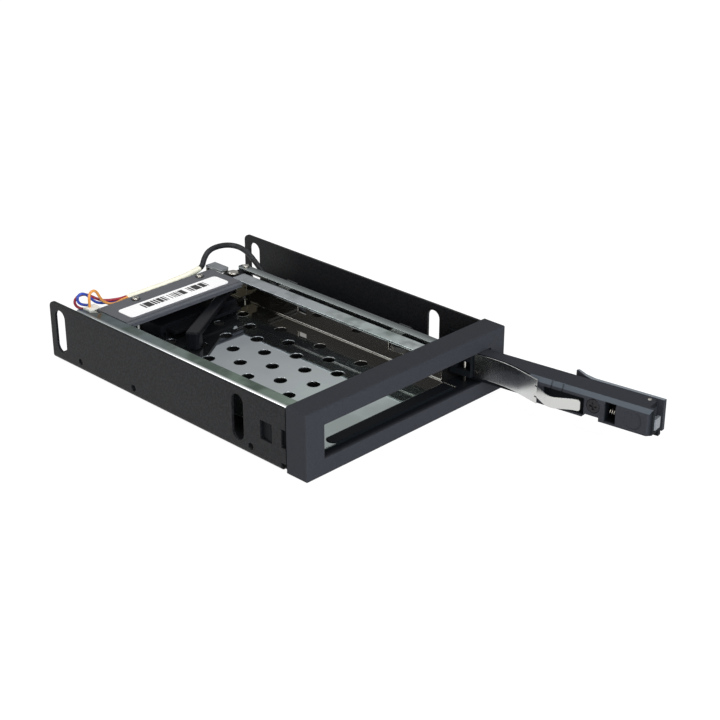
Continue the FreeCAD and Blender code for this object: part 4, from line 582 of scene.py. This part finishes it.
def make_wires():
    """Three short wires into an ivory sleeve, and the lead that runs on from it."""
    smooth_wire("wire_red", steps_from(BOARD_CORNER, RED_LOOP), WIRE_RADIUS, "red")
    smooth_wire("wire_blue", steps_from(BOARD_CORNER, BLUE_LOOP), WIRE_RADIUS, "blue")
    smooth_wire("wire_orange", steps_from(BOARD_CORNER, ORANGE_LOOP), WIRE_RADIUS, "orange")
    points = steps_from(BOARD_CORNER, SLEEVE_START) + steps_from(RAIL_CORNER, SLEEVE_END)
    sleeve = smooth_wire("wire_sleeve", points, SLEEVE_RADIUS, "sleeve")
    points = steps_from(RAIL_CORNER, LEAD_START) + steps_from(HOLDER_MOUTH, LEAD_END)
    lead = smooth_wire("lead_cable", points, LEAD_RADIUS, "lead")


# the bolt's spring, in millimetres and turns
COIL_LENGTH = 3.7
COIL_OUTER_RADIUS = 1.6
COIL_WIRE_RADIUS = 0.25
COIL_TURNS = 4.0


def coil_tree():
    """Nodes for a spring of round wire, wound upwards from its base."""
    tree = bpy.data.node_groups.new("wound_coil", "GeometryNodeTree")
    sockets = tree.interface
    sockets.new_socket("Coil", in_out="OUTPUT", socket_type="NodeSocketGeometry")
    for name in ("Coil Radius", "Wire Radius", "Length", "Turns"):
        sockets.new_socket(name, in_out="INPUT", socket_type="NodeSocketFloat")
    sockets.new_socket("Finish", in_out="INPUT", socket_type="NodeSocketMaterial")
    given = tree.nodes.new("NodeGroupInput").outputs
    line = add(tree, "GeometryNodeCurveSpiral", Resolution=24, Rotations=given["Turns"],
               Start_Radius=given["Coil Radius"], End_Radius=given["Coil Radius"], Height=given["Length"])
    ring = add(tree, "GeometryNodeCurvePrimitiveCircle", Resolution=10, Radius=given["Wire Radius"])
    tube = add(tree, "GeometryNodeCurveToMesh", Curve=line, Profile_Curve=ring, Fill_Caps=True)
    whole = add(tree, "GeometryNodeRealizeInstances", Geometry=tube)
    done = add(tree, "GeometryNodeSetMaterial", Geometry=whole, Material=given["Finish"])
    add(tree, "NodeGroupOutput", Coil=done)
    return tree


def grown(name, tree, values, matrix):
    """Run a node tree with its named inputs and keep the result as a plain, placed mesh."""
    holder = bpy.data.objects.new(name, bpy.data.meshes.new(name))
    bpy.context.collection.objects.link(holder)
    modifier = holder.modifiers.new("nodes", "NODES")
    modifier.node_group = tree
    for item in tree.interface.items_tree:
        if item.in_out == "INPUT" and item.name in values:
            modifier[item.identifier] = values[item.name]
    bpy.context.view_layer.update()
    evaluated = holder.evaluated_get(bpy.context.evaluated_depsgraph_get())
    mesh = bpy.data.meshes.new_from_object(evaluated)
    holder.modifiers.clear()
    holder.data = mesh
    mesh.transform(matrix)
    for face in mesh.polygons:
        face.use_smooth = True
    return holder


def make_coil():
    """Round-wire spring behind the bolt, wound along the door."""
    low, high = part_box("latch_spring")
    length = COIL_LENGTH * MM
    wire = COIL_WIRE_RADIUS * MM
    along = Matrix.Rotation(DOOR_TURN, 4, "Z") @ Matrix.Rotation(math.pi / 2, 4, "Y")
    start = (low + high) / 2 - along.to_3x3() @ Vector((0, 0, length / 2 - wire))
    values = {"Coil Radius": COIL_OUTER_RADIUS * MM - wire, "Wire Radius": wire, "Length": length - 2 * wire,
              "Turns": COIL_TURNS, "Finish": FINISHES["plate"]}
    coil = grown("latch_coil", coil_tree(), values, Matrix.Translation(start) @ along)
    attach(coil, "door")
    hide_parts("latch_spring")


# the latch's pin, in millimetres; a face whose normal is this upright is an end and stays flat
PIN_DROP = 0.16
PIN_RIM = 0.2
PIN_RIM_REACH = 0.01
PIN_END_RISE = 0.99


def make_latch_pin():
    """The latch's pin with a rounded end, low enough to clear the frame when the door is shut."""
    low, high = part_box("latch_pin")
    middle = (low + high) / 2
    radius = (high.x - low.x) / 2
    top = high.z - PIN_DROP * MM
    shape = bmesh.new()
    placed = Matrix.Translation((middle.x, middle.y, (low.z + top) / 2))
    bmesh.ops.create_cone(shape, cap_ends=True, segments=32, radius1=radius, radius2=radius,
                          depth=top - low.z, matrix=placed)
    rim = [edge for edge in shape.edges if all(end.co.z > top - PIN_RIM_REACH * MM for end in edge.verts)]
    bmesh.ops.bevel(shape, geom=rim, offset=PIN_RIM * MM, segments=3, profile=0.5, affect="EDGES")
    mesh = bpy.data.meshes.new("latch_pin_end")
    shape.to_mesh(mesh)
    shape.free()
    for face in mesh.polygons:
        face.use_smooth = abs(face.normal.z) < PIN_END_RISE
    mesh.materials.append(FINISHES["plate"])
    pin = bpy.data.objects.new("latch_pin_end", mesh)
    bpy.context.collection.objects.link(pin)
    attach(pin, "door")
    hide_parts("latch_pin")


# the studio, in metres, watts and shares of white
FLOOR_HALF = 4.0
FLOOR_LEVEL = -0.0005
FLOOR_GLOW = 1.1
FLOOR_GLOW_SHARE = 0.85
WHITE = (1, 1, 1, 1)
ROOM_LEVEL = 0.5
SOFTBOXES = (
    # name, place, width, power, colour, seen in gloss
    ("top_softbox", (-0.12, -0.35, 1.5), 0.7, 4.8, "#ffffff", True),
    ("front_softbox", (-0.45, -1.35, 0.5), 1.0, 20.0, "#f2f6ff", False),
    ("left_softbox", (-1.3, -0.35, 0.45), 0.7, 5.2, "#fff3e8", True),
)
DARK_ZONES = (
    # way to the zone, cosine where it begins, cosine where it is whole, factor on the room there
    ((-0.715, 0.699, 0.0), 0.35, 0.85, 0.16),
    ((0.7, -0.68, 0.2), 0.45, 0.85, 0.55),
)
LIT_ZONES = (
    # way to the zone, cosine where it begins, cosine where it is whole, light added there
    ((0.0, 0.65, 0.76), 0.86, 0.97, 0.4),
    ((-0.33, 0.62, 0.71), 0.94, 0.975, 2.0),
    ((-0.3, -0.9, 0.33), 0.9, 0.97, 1.0),
)


def make_floor():
    """Pale floor that is white to the eye and still keeps a faint shadow."""
    mesh = bpy.data.meshes.new("floor")
    signs = ((-1, -1), (1, -1), (1, 1), (-1, 1))
    corners = [(x * FLOOR_HALF, y * FLOOR_HALF, FLOOR_LEVEL) for x, y in signs]
    mesh.from_pydata(corners, [], [(0, 1, 2, 3)])
    floor = bpy.data.objects.new("floor", mesh)
    bpy.context.collection.objects.link(floor)
    made = bpy.data.materials.new("white_paper_floor")
    made.use_nodes = True
    tree = made.node_tree
    tree.nodes.clear()
    rays = add(tree, "ShaderNodeLightPath").outputs
    seen = add(tree, "ShaderNodeMath", LARGER, _0=rays["Is Camera Ray"], _1=rays["Is Glossy Ray"])
    share = add(tree, "ShaderNodeMath", PRODUCT, _0=seen, _1=FLOOR_GLOW_SHARE)
    matte = add(tree, "ShaderNodeBsdfDiffuse", Color=linear("#f4f4f4"))
    glow = add(tree, "ShaderNodeEmission", Color=WHITE, Strength=FLOOR_GLOW)
    mix = add(tree, "ShaderNodeMixShader", _0=share, _1=matte, _2=glow)
    add(tree, "ShaderNodeOutputMaterial", Surface=mix)
    mesh.materials.append(made)


def make_world():
    """White to the eye; as light, a grey room, dark at left rear and front right, lit at rear and front."""
    world = bpy.data.worlds.new("studio_room")
    bpy.context.scene.world = world
    world.use_nodes = True
    tree = world.node_tree
    tree.nodes.clear()
    way = add(tree, "ShaderNodeTexCoord").outputs["Generated"]
    room = ROOM_LEVEL
    for toward, begin, full, factor in DARK_ZONES:
        match = add(tree, "ShaderNodeVectorMath", DOT, _0=way, _1=toward)
        share = add(tree, "ShaderNodeMapRange", Value=match, From_Min=begin, From_Max=full,
                    To_Min=1.0, To_Max=factor)
        room = add(tree, "ShaderNodeMath", PRODUCT, _0=share, _1=room)
    for toward, begin, full, light in LIT_ZONES:
        match = add(tree, "ShaderNodeVectorMath", DOT, _0=way, _1=toward)
        share = add(tree, "ShaderNodeMapRange", Value=match, From_Min=begin, From_Max=full, To_Max=light)
        room = add(tree, "ShaderNodeMath", SUM, _0=share, _1=room)
    seen = add(tree, "ShaderNodeLightPath").outputs["Is Camera Ray"]
    shown = add(tree, "ShaderNodeMix", _0=seen, _2=room, _3=1.0)
    back = add(tree, "ShaderNodeBackground", Color=WHITE, Strength=shown)
    add(tree, "ShaderNodeOutputWorld", Surface=back)


def make_softboxes():
    """Square soft lamps, all aimed at the object's origin."""
    for name, place, width, power, colour, in_gloss in SOFTBOXES:
        lamp = bpy.data.lights.new(name, "AREA")
        lamp.shape = "SQUARE"
        lamp.size = width
        lamp.energy = power
        lamp.color = linear(colour)[:3]
        holder = bpy.data.objects.new(name, lamp)
        bpy.context.collection.objects.link(holder)
        holder.location = place
        holder.rotation_euler = (-Vector(place)).to_track_quat("-Z", "Y").to_euler()
        holder.visible_glossy = in_gloss


# the camera, fitted to the bezel and the walls: degrees, then millimetres
CAMERA_AZIMUTH = -45.63
CAMERA_RISE = 25.24
CAMERA_AIM = (35.73, -16.2, -3.32)
CAMERA_DISTANCE = 623.77
CAMERA_LENS = 79.42
CAMERA_SENSOR = 36.0


def make_camera():
    """Camera at the photograph's view."""
    azimuth = math.radians(CAMERA_AZIMUTH)
    rise = math.radians(CAMERA_RISE)
    aim = Vector(CAMERA_AIM) * MM
    back = Vector((math.sin(azimuth) * math.cos(rise), -math.cos(azimuth) * math.cos(rise), math.sin(rise)))
    data = bpy.data.cameras.new("photo_view")
    data.lens = CAMERA_LENS
    data.sensor_width = CAMERA_SENSOR
    data.clip_start = 0.01
    camera = bpy.data.objects.new("photo_view", data)
    bpy.context.collection.objects.link(camera)
    camera.location = aim + back * CAMERA_DISTANCE * MM
    camera.rotation_euler = (-back).to_track_quat("-Z", "Y").to_euler()
    bpy.context.scene.camera = camera


make_camera()
make_wires()
dress_nodes()
make_coil()
make_latch_pin()
make_floor()
make_world()
make_softboxes()
bpy.context.scene.view_settings.view_transform = "Standard"
